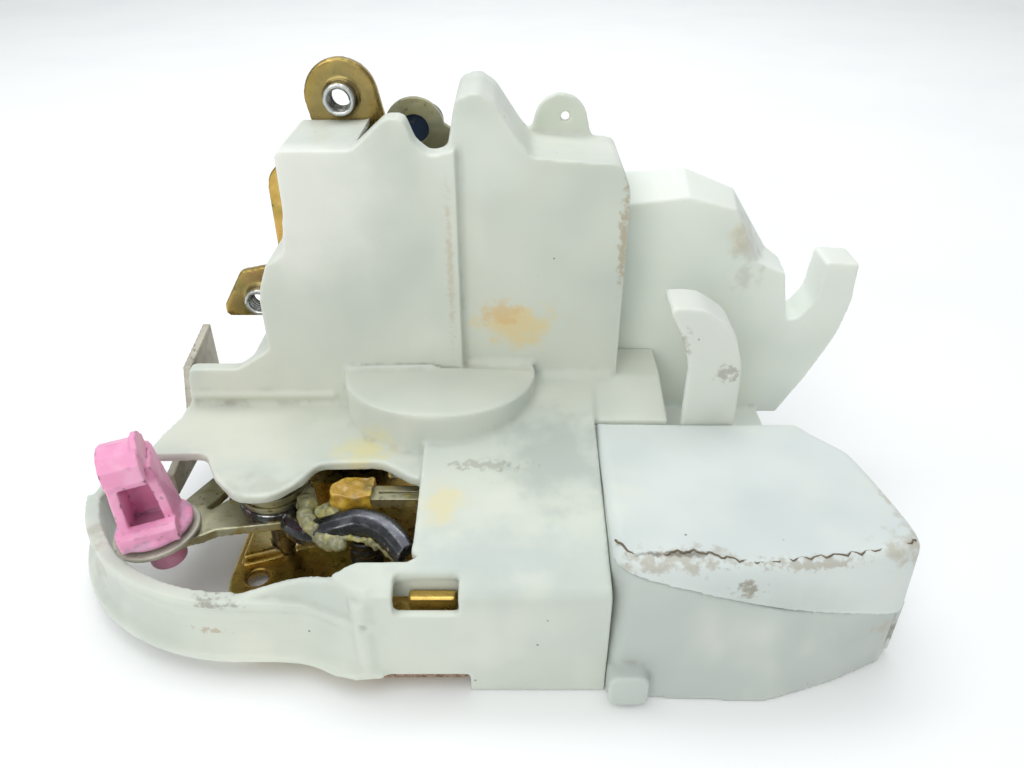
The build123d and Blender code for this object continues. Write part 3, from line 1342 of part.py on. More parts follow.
def harness_shield():
    """Open-backed shield for the cables, with a hook and a web that reaches under the deck."""
    tray = shield_loft(SHIELD_Y, SHIELD_BACK_Y, 0)
    tray += upright(hook_outline(), SHIELD_Y, SHIELD_BACK_Y)
    room = shield_loft(SHIELD_Y + WALL, SHIELD_BACK_Y + 1, WALL)
    room += upright(offset(hook_outline(), -WALL), SHIELD_Y + WALL, SHIELD_BACK_Y + 1)
    right = RIGHT_PANEL_X + 40
    low = SHIELD_FOOT_Z
    high = SHIELD_FOOT_Z + WALL
    web = block(DECK_RIGHT_X, right, BOX_BACK_Y, SHIELD_Y + WALL, low, high)
    web += block(DECK_RIGHT_X, right, BOX_BACK_Y, BOX_BACK_Y + WALL, low - 6, high)
    return tray - room + web


def hood_outline():
    """Hood seen from the front, as X and Z: a straight leg that curves over to the left."""
    right = HOOD_X + HOOD_WIDTH
    return rounded(
        [
            (HOOD_X, HOOD_FOOT_Z),
            (right, HOOD_FOOT_Z),
            (right - 0.6, HOOD_TOP_Z - 15),
            (right - 3.6, HOOD_TOP_Z - 5.0),
            (right - 11, HOOD_TOP_Z),
            (HOOD_X - 4.8, HOOD_TOP_Z),
            (HOOD_X - 5.2, HOOD_TOP_Z - 1.4),
            (HOOD_X - 2.4, HOOD_TOP_Z - 6.5),
            (HOOD_X, HOOD_TOP_Z - 14),
        ],
        [0, 0, 12, 8, 8, 0.6, 0.6, 6, 10],
    )


def harness_hood():
    """Curved hood behind the box, open to the left and to the back."""
    outer = hood_outline()
    hood = upright(outer, BOX_BACK_Y, BOX_BACK_Y + HOOD_DEPTH)
    inner = offset(outer, -WALL)
    for shift in (0.0, 4.0, 8.0):
        hood -= upright(Pos(-shift, 0) * inner, BOX_BACK_Y + WALL, BOX_BACK_Y + HOOD_DEPTH - WALL)
    back = BOX_BACK_Y + HOOD_DEPTH + 1
    right = HOOD_X + HOOD_WIDTH - 2 * WALL
    return hood - block(HOOD_X - 9, right, BOX_BACK_Y + WALL, back, HOOD_FOOT_Z + WALL, HOOD_TOP_Z - 12)


# ================================================================ all pieces
PIECES = {
    "latch_frame": latch_frame,
    "backing_plate": backing_plate,
    "latch_body": latch_body,
    "claw": claw,
    "claw_pin": claw_pin,
    "claw_spring": claw_spring,
    "pawl": pawl,
    "pawl_pin": pawl_pin,
    "pawl_spring": pawl_spring,
    "ring_lever": ring_lever,
    "ring_lever_pin": ring_lever_pin,
    "latch_cover": latch_cover,
    "actuator_case": actuator_case,
    "actuator_lid": actuator_lid,
    "case_screws": case_screws,
    "motor_can": motor_can,
    "motor_end_cap": motor_end_cap,
    "motor_terminals": motor_terminals,
    "motor_shaft": motor_shaft,
    "worm": worm,
    "worm_wheel": worm_wheel,
    "wheel_pin": wheel_pin,
    "lock_rack": lock_rack,
    "resin_block": resin_block,
    "release_lever": release_lever,
    "curved_arm": curved_arm,
    "pivot_drum": pivot_drum,
    "lever_stud": lever_stud,
    "return_spring": return_spring,
    "clip_washer": clip_washer,
    "rod_clip": rod_clip,
    "side_bracket": side_bracket,
    "bracket_rivets": bracket_rivets,
    "stop_bumper": stop_bumper,
    "harness_shield": harness_shield,
    "harness_hood": harness_hood,
}


def main():
    """Build every piece, move it to the part's origin and write it to its own file."""
    os.makedirs("parts", exist_ok=True)
    for name, make in PIECES.items():
        piece = Pos(-DATUM_X, -DATUM_Y, 0) * make()
        piece.label = name
        export_step(piece, os.path.join("parts", name + ".step"))
        box = piece.bounding_box()
        print(f"{name:18s} solids {len(piece.solids())}  volume {piece.volume:9.1f}  "
              f"X {box.min.X:7.2f} {box.max.X:7.2f}  Y {box.min.Y:7.2f} {box.max.Y:7.2f}  "
              f"Z {box.min.Z:7.2f} {box.max.Z:7.2f}", flush=True)


if __name__ == "__main__":
    main()
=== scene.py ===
"""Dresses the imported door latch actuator.

The CAD nodes give every place and size. This script builds the soft-edged mouldings, the rod clip, springs,
threads and grease around them, gives every surface a procedural finish, and sets up floor, light and camera.
Places are in the millimetres of the part's drawing: X right, Y back to the face plate, Z up from the floor.
"""

import logging
import math
from dataclasses import dataclass, field
from enum import Enum
from typing import Callable, Iterable, Sequence

import bmesh
import bpy
import numpy as np
from mathutils import Matrix, Vector, noise


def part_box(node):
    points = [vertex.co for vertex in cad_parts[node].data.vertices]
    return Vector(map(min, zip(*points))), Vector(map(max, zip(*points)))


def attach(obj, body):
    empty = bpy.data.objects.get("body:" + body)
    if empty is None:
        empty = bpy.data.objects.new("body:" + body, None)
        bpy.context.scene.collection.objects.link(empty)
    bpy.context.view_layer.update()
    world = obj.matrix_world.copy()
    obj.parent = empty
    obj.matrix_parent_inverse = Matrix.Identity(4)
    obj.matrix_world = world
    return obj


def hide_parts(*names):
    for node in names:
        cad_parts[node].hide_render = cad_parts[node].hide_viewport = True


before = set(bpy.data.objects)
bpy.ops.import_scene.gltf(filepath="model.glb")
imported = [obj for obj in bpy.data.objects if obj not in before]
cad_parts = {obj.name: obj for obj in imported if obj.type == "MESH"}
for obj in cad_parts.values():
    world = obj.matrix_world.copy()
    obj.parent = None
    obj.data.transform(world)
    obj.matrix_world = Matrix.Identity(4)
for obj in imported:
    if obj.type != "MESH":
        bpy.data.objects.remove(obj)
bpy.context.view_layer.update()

LOG = logging.getLogger("door_latch")
MM = 0.001
FACE_RIGHT = 16.0       # right side of the face plate on the drawing
FACE_BACK = 84.3        # its back on the drawing
FACE_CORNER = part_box("latch_frame")[1] / MM
DATUM = Vector((FACE_RIGHT - FACE_CORNER.x, FACE_BACK - FACE_CORNER.y, 0.0))  # the frame's origin on the drawing
GREASE_SEED = 1795481465    # how the lumps of grease lie; unseeded, the noise would start from the clock

Point = tuple[float, float, float]
Section = Sequence[tuple[float, float]]
Placing = Callable[[float, float, float], Vector]   # two ways across an axis and the way along it, to the frame
Finishes = dict[str, bpy.types.Material]


# ---------------------------------------------------------------- places and meshes
def at(x: float, y: float, z: float) -> Vector:
    """Turns a place on the drawing, in millimetres, into the frame's metres.

    Args:
        x: Place to the right.
        y: Place to the back.
        z: Height over the floor.

    Returns:
        The same place in the frame.
    """
    return (Vector((x, y, z)) - DATUM) * MM


def smooth_line(points: Sequence[Point], steps: int, closed: bool = False) -> list[Vector]:
    """Runs a Catmull-Rom curve through points.

    Args:
        points: Points that the curve goes through, in millimetres.
        steps: Pieces between two points.
        closed: Whether the curve comes back to its start.

    Returns:
        Points along the curve.
    """
    knots = [Vector(p) for p in points]
    count = len(knots)
    spans = count if closed else count - 1
    line = []
    for i in range(spans):
        if closed:
            a, b, c, d = (knots[(i + k) % count] for k in (-1, 0, 1, 2))
        else:
            a, b, c, d = (knots[min(max(i + k, 0), count - 1)] for k in (-1, 0, 1, 2))
        for s in range(steps):
            t = s / steps
            line.append(0.5 * (2 * b + (c - a) * t + (2 * a - 5 * b + 4 * c - d) * t * t
                               + (3 * b - a - 3 * c + d) * t ** 3))
    if not closed:
        line.append(knots[-1])
    return line


def ring_stack(rings: Sequence[Sequence[Vector]], closed: bool = True) -> bmesh.types.BMesh:
    """Skins rings of equal length into a capped solid.

    Args:
        rings: Rings of places in metres, in order.
        closed: Whether each ring comes back to its start.

    Returns:
        The solid's mesh.
    """
    bm = bmesh.new()
    rows = [[bm.verts.new(p) for p in ring] for ring in rings]
    count = len(rows[0])
    for low, high in zip(rows, rows[1:]):
        for i in range(count if closed else count - 1):
            j = (i + 1) % count
            bm.faces.new((low[i], low[j], high[j], high[i]))
    if closed:
        bm.faces.new(list(reversed(rows[0])))
        bm.faces.new(rows[-1])
    bmesh.ops.recalc_face_normals(bm, faces=bm.faces)
    return bm


def circle(sides: int) -> list[tuple[float, float]]:
    """Corners of a round of radius 1."""
    return [(math.cos(a), math.sin(a)) for a in (2 * math.pi * k / sides for k in range(sides))]


def tube(line: Sequence[Vector], radius: float, sides: int = 10) -> bmesh.types.BMesh:
    """Sweeps a disc along a line.

    Args:
        line: Places along the middle, in metres.
        radius: Radius in millimetres.
        sides: Corners of the disc.

    Returns:
        The tube's mesh.
    """
    rings = []
    side = Vector((0, 0, 1))
    for i, place in enumerate(line):
        ahead = (line[min(i + 1, len(line) - 1)] - line[max(i - 1, 0)]).normalized()
        side = side - ahead * side.dot(ahead)
        if side.length < 1e-6:
            side = ahead.orthogonal()
        side.normalize()
        other = ahead.cross(side)
        rings.append([place + radius * MM * (u * side + v * other) for u, v in circle(sides)])
    return ring_stack(rings)


def turned(place: Placing, profile: Section, sides: int = 48) -> bmesh.types.BMesh:
    """Turns a profile about an axis.

    Args:
        place: Puts a point beside and along the axis into the frame.
        profile: Radius and height pairs in millimetres, from one end to the other.
        sides: Corners of each ring.

    Returns:
        The turned solid's mesh.
    """
    return ring_stack([[place(r * u, r * v, w) for u, v in circle(sides)] for r, w in profile])


def helix(place: Placing, radius: float, count: int, rise: float, sides: int, start: float = 0.0) -> list[Vector]:
    """Winds a line about an axis.

    Args:
        place: Puts a point beside and along the axis into the frame.
        radius: Radius in millimetres.
        count: Steps in all.
        rise: Way along the axis in each step.
        sides: Steps in one turn.
        start: Angle of the first point.

    Returns:
        Places along the line.
    """
    turns = [start + 2 * math.pi * k / sides for k in range(count + 1)]
    return [place(radius * math.cos(a), radius * math.sin(a), rise * k) for k, a in enumerate(turns)]


def upright(x: float, y: float, z: float) -> Placing:
    """Placing about an upright axis with its foot on the drawing."""
    return lambda u, v, w: at(x + u, y + v, z + w)


def swept(line: Sequence[Vector], section: Section) -> bmesh.types.BMesh:
    """Runs a section along a line and keeps it upright.

    Args:
        line: Points on the drawing.
        section: Pairs of reach to the line's right and height over it, in millimetres.

    Returns:
        The swept solid's mesh.
    """
    rings = []
    for i, place in enumerate(line):
        ahead = line[min(i + 1, len(line) - 1)] - line[max(i - 1, 0)]
        right = ahead.cross(Vector((0, 0, 1))).normalized()
        rings.append([at(*(place + right * o + Vector((0, 0, w)))) for o, w in section])
    return ring_stack(rings)


def lumps(line: Sequence[Vector], radius: float, spread: float, seed: float = 0.0) -> bmesh.types.BMesh:
    """Strings uneven blobs along a line, to be fused by moulded().

    Args:
        line: Points on the drawing.
        radius: Middle radius of a blob in millimetres.
        spread: How far blobs stray from the line.
        seed: Picks another arrangement.

    Returns:
        The blobs' mesh.
    """
    bm = bmesh.new()
    for place in line:
        key = place * 1.7 + Vector((seed, 0, 0))
        middle = place + noise.noise_vector(key) * spread
        size = radius * (1.0 + 0.6 * noise.noise(key * 1.3))
        bmesh.ops.create_icosphere(bm, subdivisions=2, radius=size * MM, matrix=Matrix.Translation(at(*middle)))
    return bm


def middle_of(node: str) -> Vector:
    """Middle of a CAD node's box on the drawing."""
    low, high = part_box(node)
    return (low + high) / 2 / MM + DATUM


def joined(parts: Iterable[bmesh.types.BMesh]) -> bmesh.types.BMesh:
    """Puts several meshes into one without welding them.

    Args:
        parts: Meshes, which are freed.

    Returns:
        One mesh with all their faces.
    """
    whole = bmesh.new()
    for part in parts:
        mesh = bpy.data.meshes.new("part")
        part.to_mesh(mesh)
        part.free()
        whole.from_mesh(mesh)
        bpy.data.meshes.remove(mesh)
    return whole


def node_mesh(node: str) -> bmesh.types.BMesh:
    """Copies a CAD node's mesh, with the seams between its faces welded.

    Args:
        node: Name of the CAD node.

    Returns:
        The copy.
    """
    bm = bmesh.new()
    bm.from_mesh(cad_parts[node].data)
    bmesh.ops.remove_doubles(bm, verts=bm.verts, dist=2e-6)
    bmesh.ops.recalc_face_normals(bm, faces=bm.faces)
    return bm


def box_solid(low: Point, high: Point) -> bmesh.types.BMesh:
    """Box between two corners on the drawing, used to add or cut away plastic before a skin is fused."""
    (x0, y0, z0), (x1, y1, z1) = low, high
    rows = [[at(x, y, z) for x, y in ((x0, y0), (x1, y0), (x1, y1), (x0, y1))] for z in (z0, z1)]
    return ring_stack(rows)


def holder(bm: bmesh.types.BMesh) -> bpy.types.Object:
    """Puts a mesh, which is freed, into a passing object."""
    mesh = bpy.data.meshes.new("passing")
    bm.to_mesh(mesh)
    bm.free()
    thing = bpy.data.objects.new("passing", mesh)
    bpy.context.scene.collection.objects.link(thing)
    return thing


def moulded(bm: bmesh.types.BMesh, voxel: float, passes: int, cut: bmesh.types.BMesh | None = None) -> bpy.types.Mesh:
    """Fuses overlapping solids into one skin and rounds its edges, as a mould does.

    Args:
        bm: The solids, which are freed.
        voxel: Grain of the fused skin in millimetres.
        passes: Smoothing passes; more give a larger edge radius.
        cut: Solids to cut away, which are freed.

    Returns:
        The skin.
    """
    things = [holder(bm)]
    fuse = things[0].modifiers.new("fuse", "REMESH")
    fuse.mode = "VOXEL"
    fuse.voxel_size = voxel * MM
    if cut is not None:
        things.append(holder(cut))
        trim = things[0].modifiers.new("trim", "BOOLEAN")
        trim.operation = "DIFFERENCE"
        trim.object = things[1]
        again = things[0].modifiers.new("again", "REMESH")
        again.mode = "VOXEL"
        again.voxel_size = voxel * MM
    ease = things[0].modifiers.new("ease", "SMOOTH")
    ease.factor = 0.5
    ease.iterations = passes
    graph = bpy.context.evaluated_depsgraph_get()
    skin = bpy.data.meshes.new_from_object(things[0].evaluated_get(graph))
    for thing in things:
        mesh = thing.data
        bpy.data.objects.remove(thing)
        bpy.data.meshes.remove(mesh)
    return skin


def shifted(mesh: bpy.types.Mesh, move: Callable[[np.ndarray], np.ndarray]) -> None:
    """Moves every vertex of a mesh by a rule on the drawing.

    Args:
        mesh: Mesh in metres.
        move: Gives the new places, in millimetres of the drawing, for an array of old ones.
    """
    places = np.empty(len(mesh.vertices) * 3)
    mesh.vertices.foreach_get("co", places)
    datum = np.array(DATUM)
    drawing = places.reshape(-1, 3) / MM + datum
    moved = (move(drawing) - datum) * MM
    mesh.vertices.foreach_set("co", moved.ravel())
    mesh.update()


# ---------------------------------------------------------------- shader helpers
def linear(code: str) -> tuple[float, float, float, float]:
    """Turns an sRGB hex value into the linear colour that shaders take.

    Args:
        code: Colour such as "#D8DFD9".

    Returns:
        Linear red, green, blue and an alpha of 1.
    """
    parts = [int(code[i:i + 2], 16) / 255 for i in (1, 3, 5)]
    red, green, blue = (c / 12.92 if c <= 0.04045 else ((c + 0.055) / 1.055) ** 2.4 for c in parts)
    return red, green, blue, 1.0


def add_node(tree: bpy.types.NodeTree, kind: str, links: dict | None = None, **settings) -> bpy.types.Node:
    """Adds a shader node.

    Args:
        tree: Node tree of the material.
        kind: Node type, without the leading ShaderNode.
        links: Input name or number to a constant, or to the output socket that feeds it.
        settings: Properties of the node itself.

    Returns:
        The node.
    """
    node = tree.nodes.new("ShaderNode" + kind)
    for name, value in settings.items():
        setattr(node, name, value)
    for name, value in (links or {}).items():
        socket = node.inputs[name]
        if isinstance(value, bpy.types.NodeSocket):
            tree.links.new(value, socket)
        else:
            socket.default_value = value
    return node


def per_metre(size_mm: float) -> float:
    """Pattern scale, in repeats per metre, for a real size in millimetres."""
    return 1.0 / (size_mm * MM)


class Canvas:
    """A material under construction: its tree, its coordinates and the colour painted so far."""

    def __init__(self, name: str, colour: str) -> None:
        """Starts the material.

        Args:
            name: Name of the material.
            colour: Ground colour as sRGB hex.
        """
        self.material = bpy.data.materials.new(name)
        self.material.use_nodes = True
        self.tree = self.material.node_tree
        self.shader = self.tree.nodes["Principled BSDF"]
        self.place = add_node(self.tree, "TexCoord").outputs["Object"]
        self.colour: bpy.types.NodeSocket | None = None
        self.ground = colour
        self.height: bpy.types.NodeSocket | None = None

    def cloud(self, size: float, detail: float = 3.0, stretch: Point = (1.0, 1.0, 1.0),
              rough: float = 0.55) -> bpy.types.NodeSocket:
        """Soft random pattern from 0 to 1.

        Args:
            size: Size of its blots in millimetres.
            detail: Finer layers.
            stretch: Factors along X, Y and Z; above 1 packs it tighter.
            rough: Weight of the finer layers.

        Returns:
            Socket of the pattern.
        """
        spread = add_node(self.tree, "Mapping", {"Vector": self.place, "Scale": stretch})
        return add_node(self.tree, "TexNoise", {
            "Vector": spread.outputs["Vector"], "Scale": per_metre(size), "Detail": detail,
            "Roughness": rough}).outputs["Fac"]

    def ramp(self, value: bpy.types.NodeSocket, low: float, high: float,
             start: float = 0.0, end: float = 1.0) -> bpy.types.NodeSocket:
        """Stretches a value from one range to another and cuts what lies outside.

        Args:
            value: Socket of the value.
            low: Value that gives start.
            high: Value that gives end.
            start: Result at low.
            end: Result at high.

        Returns:
            Socket of the result.
        """
        return add_node(self.tree, "MapRange", {
            "Value": value, "From Min": low, "From Max": high, "To Min": start, "To Max": end},
            interpolation_type="SMOOTHSTEP").outputs["Result"]

    def times(self, a: bpy.types.NodeSocket, b: bpy.types.NodeSocket | float) -> bpy.types.NodeSocket:
        """Product of two values."""
        return add_node(self.tree, "Math", {0: a, 1: b}, operation="MULTIPLY").outputs[0]

    def larger(self, a: bpy.types.NodeSocket, b: bpy.types.NodeSocket) -> bpy.types.NodeSocket:
        """Larger of two values."""
        return add_node(self.tree, "Math", {0: a, 1: b}, operation="MAXIMUM").outputs[0]

    def spot(self, middle: Point, reach: Point, ragged: float = 0.35, hard: float = 0.2) -> bpy.types.NodeSocket:
        """Oval patch on the drawing, 1 at its middle and 0 outside.

        Args:
            middle: Middle in millimetres.
            reach: Half its length along X, Y and Z.
            ragged: How far noise breaks its rim up.
            hard: Share of the reach that stays full.

        Returns:
            Socket of the patch.
        """
        offset = add_node(self.tree, "VectorMath", {0: self.place, 1: at(*middle)}, operation="SUBTRACT")
        scale = tuple(per_metre(r) for r in reach)
        unit = add_node(self.tree, "VectorMath", {0: offset.outputs[0], 1: scale}, operation="MULTIPLY")
        far = add_node(self.tree, "VectorMath", {0: unit.outputs[0]}, operation="LENGTH").outputs["Value"]
        wobble = self.ramp(self.cloud(max(min(reach) * 0.7, 1.2), 5.0), 0.2, 0.8, -ragged, ragged)
        edge = add_node(self.tree, "Math", {0: far, 1: wobble}, operation="ADD").outputs[0]
        return self.ramp(edge, hard, 1.0, 1.0, 0.0)

    def hollows(self, width: float = 0.06) -> bpy.types.NodeSocket:
        """Where the surface bends inwards, from the mesh's own curvature."""
        sharp = add_node(self.tree, "NewGeometry").outputs["Pointiness"]
        return self.ramp(sharp, 0.5 - width, 0.5, 1.0, 0.0)

    def crests(self, width: float = 0.06) -> bpy.types.NodeSocket:
        """Where the surface bends outwards, from the mesh's own curvature."""
        sharp = add_node(self.tree, "NewGeometry").outputs["Pointiness"]
        return self.ramp(sharp, 0.5, 0.5 + width)

    def paint(self, colour: str, where: bpy.types.NodeSocket, strength: float = 1.0) -> None:
        """Lays a colour over what is there.

        Args:
            colour: Colour as sRGB hex.
            where: Mask from 0 to 1.
            strength: Cover at a mask of 1.
        """
        mix = add_node(self.tree, "Mix", {"Factor": self.times(where, strength)}, data_type="RGBA")
        below, above = mix.inputs[6], mix.inputs[7]
        if self.colour is None:
            below.default_value = linear(self.ground)
        else:
            self.tree.links.new(self.colour, below)
        above.default_value = linear(colour)
        self.colour = mix.outputs[2]

    def blotch(self, colour: str, size: float, detail: float, low: float, high: float, strength: float,
               within: bpy.types.NodeSocket | None = None) -> None:
        """Paints random blots.

        Args:
            colour: Colour as sRGB hex.
            size: Size of a blot in millimetres.
            detail: Finer layers of its rim.
            low: Height of the pattern at which a blot starts.
            high: Height at which it covers.
            strength: Its cover.
            within: Mask that it keeps to.
        """
        where = self.ramp(self.cloud(size, detail), low, high)
        self.paint(colour, where if within is None else self.times(within, where), strength)

    def emboss(self, value: bpy.types.NodeSocket, depth: float) -> None:
        """Adds relief.

        Args:
            value: Pattern from 0 to 1.
            depth: Height of the relief in millimetres at 1.
        """
        high = self.times(value, depth * MM)
        if self.height is None:
            self.height = high
        else:
            self.height = add_node(self.tree, "Math", {0: self.height, 1: high}, operation="ADD").outputs[0]

    def finish(self, edge: float = 0.0, **sockets) -> bpy.types.Material:
        """Closes the material.

        Args:
            edge: Radius in millimetres by which sharp edges look rounded.
            sockets: Shader inputs, with _ for a space, as constants or sockets.

        Returns:
            The material.
        """
        values = {name.replace("_", " "): value for name, value in sockets.items()}
        for name, value in values.items():
            socket = self.shader.inputs[name]
            if isinstance(value, bpy.types.NodeSocket):
                self.tree.links.new(value, socket)
            else:
                socket.default_value = value
        if self.colour is None:
            self.shader.inputs["Base Color"].default_value = linear(self.ground)
        else:
            self.tree.links.new(self.colour, self.shader.inputs["Base Color"])
        normal = None
        if edge:
            normal = add_node(self.tree, "Bevel", {"Radius": edge * MM}, samples=4).outputs["Normal"]
        if self.height is not None:
            bump = add_node(self.tree, "Bump", {"Height": self.height, "Distance": 1.0, "Strength": 1.0})
            if normal is not None:
                self.tree.links.new(normal, bump.inputs["Normal"])
            normal = bump.outputs["Normal"]
        if normal is not None:
            self.tree.links.new(normal, self.shader.inputs["Normal"])
        return self.material


# ---------------------------------------------------------------- finishes
@dataclass(frozen=True)
class StainOrLightPatch:
    """A soiled or yellowed patch, or a patch of painted light or painted shade.

    Attributes:
        middle: Its middle on the drawing.
        reach: Half its length along X, Y and Z.
        colour: Its sRGB hex colour.
        strength: Its cover at the middle.
        ragged: How broken its rim is.
    """

    middle: Point
    reach: Point
    colour: str
    strength: float = 0.5
    ragged: float = 0.35


@dataclass(frozen=True)
class NaturalPolypropylene:
    """Unpigmented moulded polypropylene: milky, a little see-through at its edges, dull shine.

    Light enters a millimetre or two and comes out cool in thick places and creamy where it has aged.
    """

    name: str
    ground: str = "#D6DBD0"
    shade: str = "#C3CBC4"
    # Cover of the grime and painted shade laid into the hollows.
    soil_and_shade: float = 0.5
    specks: float = 0.75
    stains_and_lighting: tuple[StainOrLightPatch, ...] = ()

    def build(self) -> bpy.types.Material:
        """Builds the material."""
        c = Canvas(self.name, self.ground)
        c.blotch(self.shade, 34.0, 2.0, 0.35, 0.68, 0.75)
        c.paint("#E6E7DC", c.ramp(c.cloud(18.0, 2.0, (1.0, 1.4, 0.7)), 0.5, 0.75), 0.45)
        # Stains and yellowing, and the patches of painted light and painted shade that a table lists.
        for stain_or_lighting in self.stains_and_lighting:
            c.paint(stain_or_lighting.colour, c.spot(stain_or_lighting.middle, stain_or_lighting.reach, stain_or_lighting.ragged), stain_or_lighting.strength)
        # Grey-brown in the hollows: painted shade, mottled by noise, together with grime.
        hollow_shade_mottle = c.ramp(c.cloud(5.0, 6.0), 0.46, 0.7)
        c.paint("#8F8776", c.times(c.hollows(0.05), hollow_shade_mottle), self.soil_and_shade)
        c.blotch("#5D5548", 9.0, 4.0, 0.56, 0.66, self.soil_and_shade, c.hollows(0.1))
        dots = add_node(c.tree, "TexVoronoi", {"Vector": c.place, "Scale": per_metre(5.5)}).outputs["Distance"]
        rare = c.ramp(c.cloud(21.0, 1.0), 0.55, 0.63)
        c.paint("#4A463E", c.times(c.ramp(dots, 0.035, 0.06, 1.0, 0.0), rare), self.specks)
        c.emboss(c.cloud(0.7, 2.0), 0.004)      # spark-eroded grain of the mould
        c.emboss(c.cloud(11.0, 1.0), 0.10)      # sink marks over the ribs inside
        scratch = c.ramp(c.cloud(2.2, 3.0, (0.25, 1.0, 3.0)), 0.6, 0.75)
        c.emboss(scratch, 0.006)
        return c.finish(
            Roughness=c.ramp(c.cloud(3.5, 4.0), 0.3, 0.7, 0.36, 0.5), IOR=1.49,
            Subsurface_Weight=0.55, Subsurface_Radius=(1.0, 0.95, 0.85), Subsurface_Scale=0.0022,
            Specular_IOR_Level=0.42)


class Plate(Enum):
    """Tone of a yellow chromate plated part."""

    GOLD = ("#D2B163", "#A2813C", "#8C9248", 0.3)
    OLIVE = ("#BDBAA0", "#9C987C", "#B8B17C", 0.42)
    GREY = ("#C6C2B4", "#A6A193", "#B9B3A0", 0.58)


@dataclass(frozen=True)
class ChromatePlatedSteel:
    """Pressed steel sheet, zinc plated and yellow passivated: metallic, with brown and green tints and any painted
    highlight listed.
    """

    name: str
    plate: Plate = Plate.GOLD
    grease: float = 0.0
    bright: tuple[Point, ...] = ()
    sheared: tuple[StainOrLightPatch, ...] = ()
    # Tone patches; a list may also hold painted highlights.
    drifts_and_highlight: tuple[StainOrLightPatch, ...] = ()

    def build(self) -> bpy.types.Material:
        """Builds the material."""
        light, dark, tint, rough = self.plate.value
        c = Canvas(self.name, light)
        c.blotch(dark, 9.0, 4.0, 0.42, 0.66, 0.8)
        c.blotch(tint, 14.0, 3.0, 0.5, 0.68, 0.55)
        soil_and_shade = c.ramp(c.cloud(1.6, 6.0), 0.56, 0.7)
        c.blotch("#3A3226", 7.0, 2.0, 0.4, 0.6, 0.6, soil_and_shade)
        # Brown and green tone patches, and any painted highlight that the list holds.
        for drift_or_highlight in self.drifts_and_highlight:
            c.paint(drift_or_highlight.colour, c.spot(drift_or_highlight.middle, drift_or_highlight.reach, drift_or_highlight.ragged), drift_or_highlight.strength)
        metal: bpy.types.NodeSocket | float = 0.45 if self.plate is Plate.GREY else 0.85
        rough_map = c.ramp(c.cloud(2.4, 4.0), 0.3, 0.75, rough - 0.08, rough + 0.14)
        for place in self.bright:
            c.paint("#C9CCCB", c.spot(place, (4.3, 5.0, 4.3), 0.0, 0.78))
        cover = None
        for patch in self.sheared:
            mask = c.spot(patch.middle, patch.reach, 0.05, 0.8)
            c.paint(patch.colour, mask, patch.strength)
            c.blotch("#4B3B30", 0.8, 4.0, 0.5, 0.62, 0.8, mask)
            cover = mask if cover is None else c.larger(cover, mask)
        if self.grease:
            film = c.ramp(c.cloud(4.5, 5.0), 0.62 - 0.2 * self.grease, 0.72)
            c.paint("#8E7A2C", film, 0.85)
            c.blotch("#D2B945", 1.3, 4.0, 0.55, 0.65, 0.9, film)
            c.emboss(film, 0.08 * self.grease)
            cover = film if cover is None else c.larger(cover, film)
        if cover is not None:
            metal = c.ramp(cover, 0.0, 1.0, 1.0, 0.25)
        c.emboss(c.cloud(0.5, 3.0), 0.006 if self.plate is not Plate.GREY else 0.03)
        return c.finish(edge=0.25, Roughness=rough_map, Metallic=metal)


@dataclass(frozen=True)
class GreasedSpringSteel:
    """Drawn or hardened steel under a film of old grease: dark, with worn bright crests."""

    name: str
    ground: str = "#55534E"
    worn: str = "#A9A8A4"
    film: str = "#6E6231"
    amount: float = 0.5
    roughness: float = 0.34

    def build(self) -> bpy.types.Material:
        """Builds the material."""
        c = Canvas(self.name, self.ground)
        c.blotch(self.worn, 1.8, 4.0, 0.4, 0.6, 0.8, c.crests(0.05))
        film = c.ramp(c.cloud(3.2, 5.0), 0.7 - 0.25 * self.amount, 0.78)
        c.paint(self.film, film, 0.85)
        c.emboss(film, 0.05 * self.amount)
        c.emboss(c.cloud(0.9, 3.0, (1.0, 1.0, 5.0)), 0.008)
        return c.finish(edge=0.2, Metallic=c.ramp(film, 0.0, 1.0, 1.0, 0.35),
                        Roughness=c.ramp(c.cloud(1.7, 3.0), 0.3, 0.7, self.roughness - 0.08, self.roughness + 0.1))


@dataclass(frozen=True)
class PinkAcetal:
    """Dyed moulded acetal: bright and waxy, with grey-mauve dirt rubbed into its edges and darker mauve in its hollows.
    """

    name: str = "pink_acetal"

    def build(self) -> bpy.types.Material:
        """Builds the material."""
        c = Canvas(self.name, "#EFA0C6")
        c.blotch("#F5BBD6", 4.0, 2.0, 0.45, 0.7, 0.6)
        c.blotch("#E287AC", 6.0, 3.0, 0.55, 0.72, 0.5)
        c.blotch("#EBA79A", 3.0, 4.0, 0.4, 0.6, 0.75, c.hollows(0.14))
        c.blotch("#5B4250", 1.6, 5.0, 0.5, 0.62, 0.9, c.hollows(0.05))
        c.blotch("#7A6470", 2.2, 5.0, 0.54, 0.64, 0.85, c.crests(0.05))
        foot = middle_of("clip_washer") + Vector((0.0, 0.0, 1.6))
        c.paint("#B89AAF", c.spot(tuple(foot), (13.0, 13.0, 3.0), 0.3, 0.6), 0.6)
        c.blotch("#8F7C86", 3.1, 6.0, 0.62, 0.72, 0.8)
        c.emboss(c.cloud(0.8, 3.0), 0.012)
        return c.finish(Roughness=c.ramp(c.cloud(2.0, 4.0), 0.3, 0.7, 0.3, 0.5), IOR=1.48,
                        Subsurface_Weight=0.25, Subsurface_Radius=(1.0, 0.5, 0.7), Subsurface_Scale=0.0012)


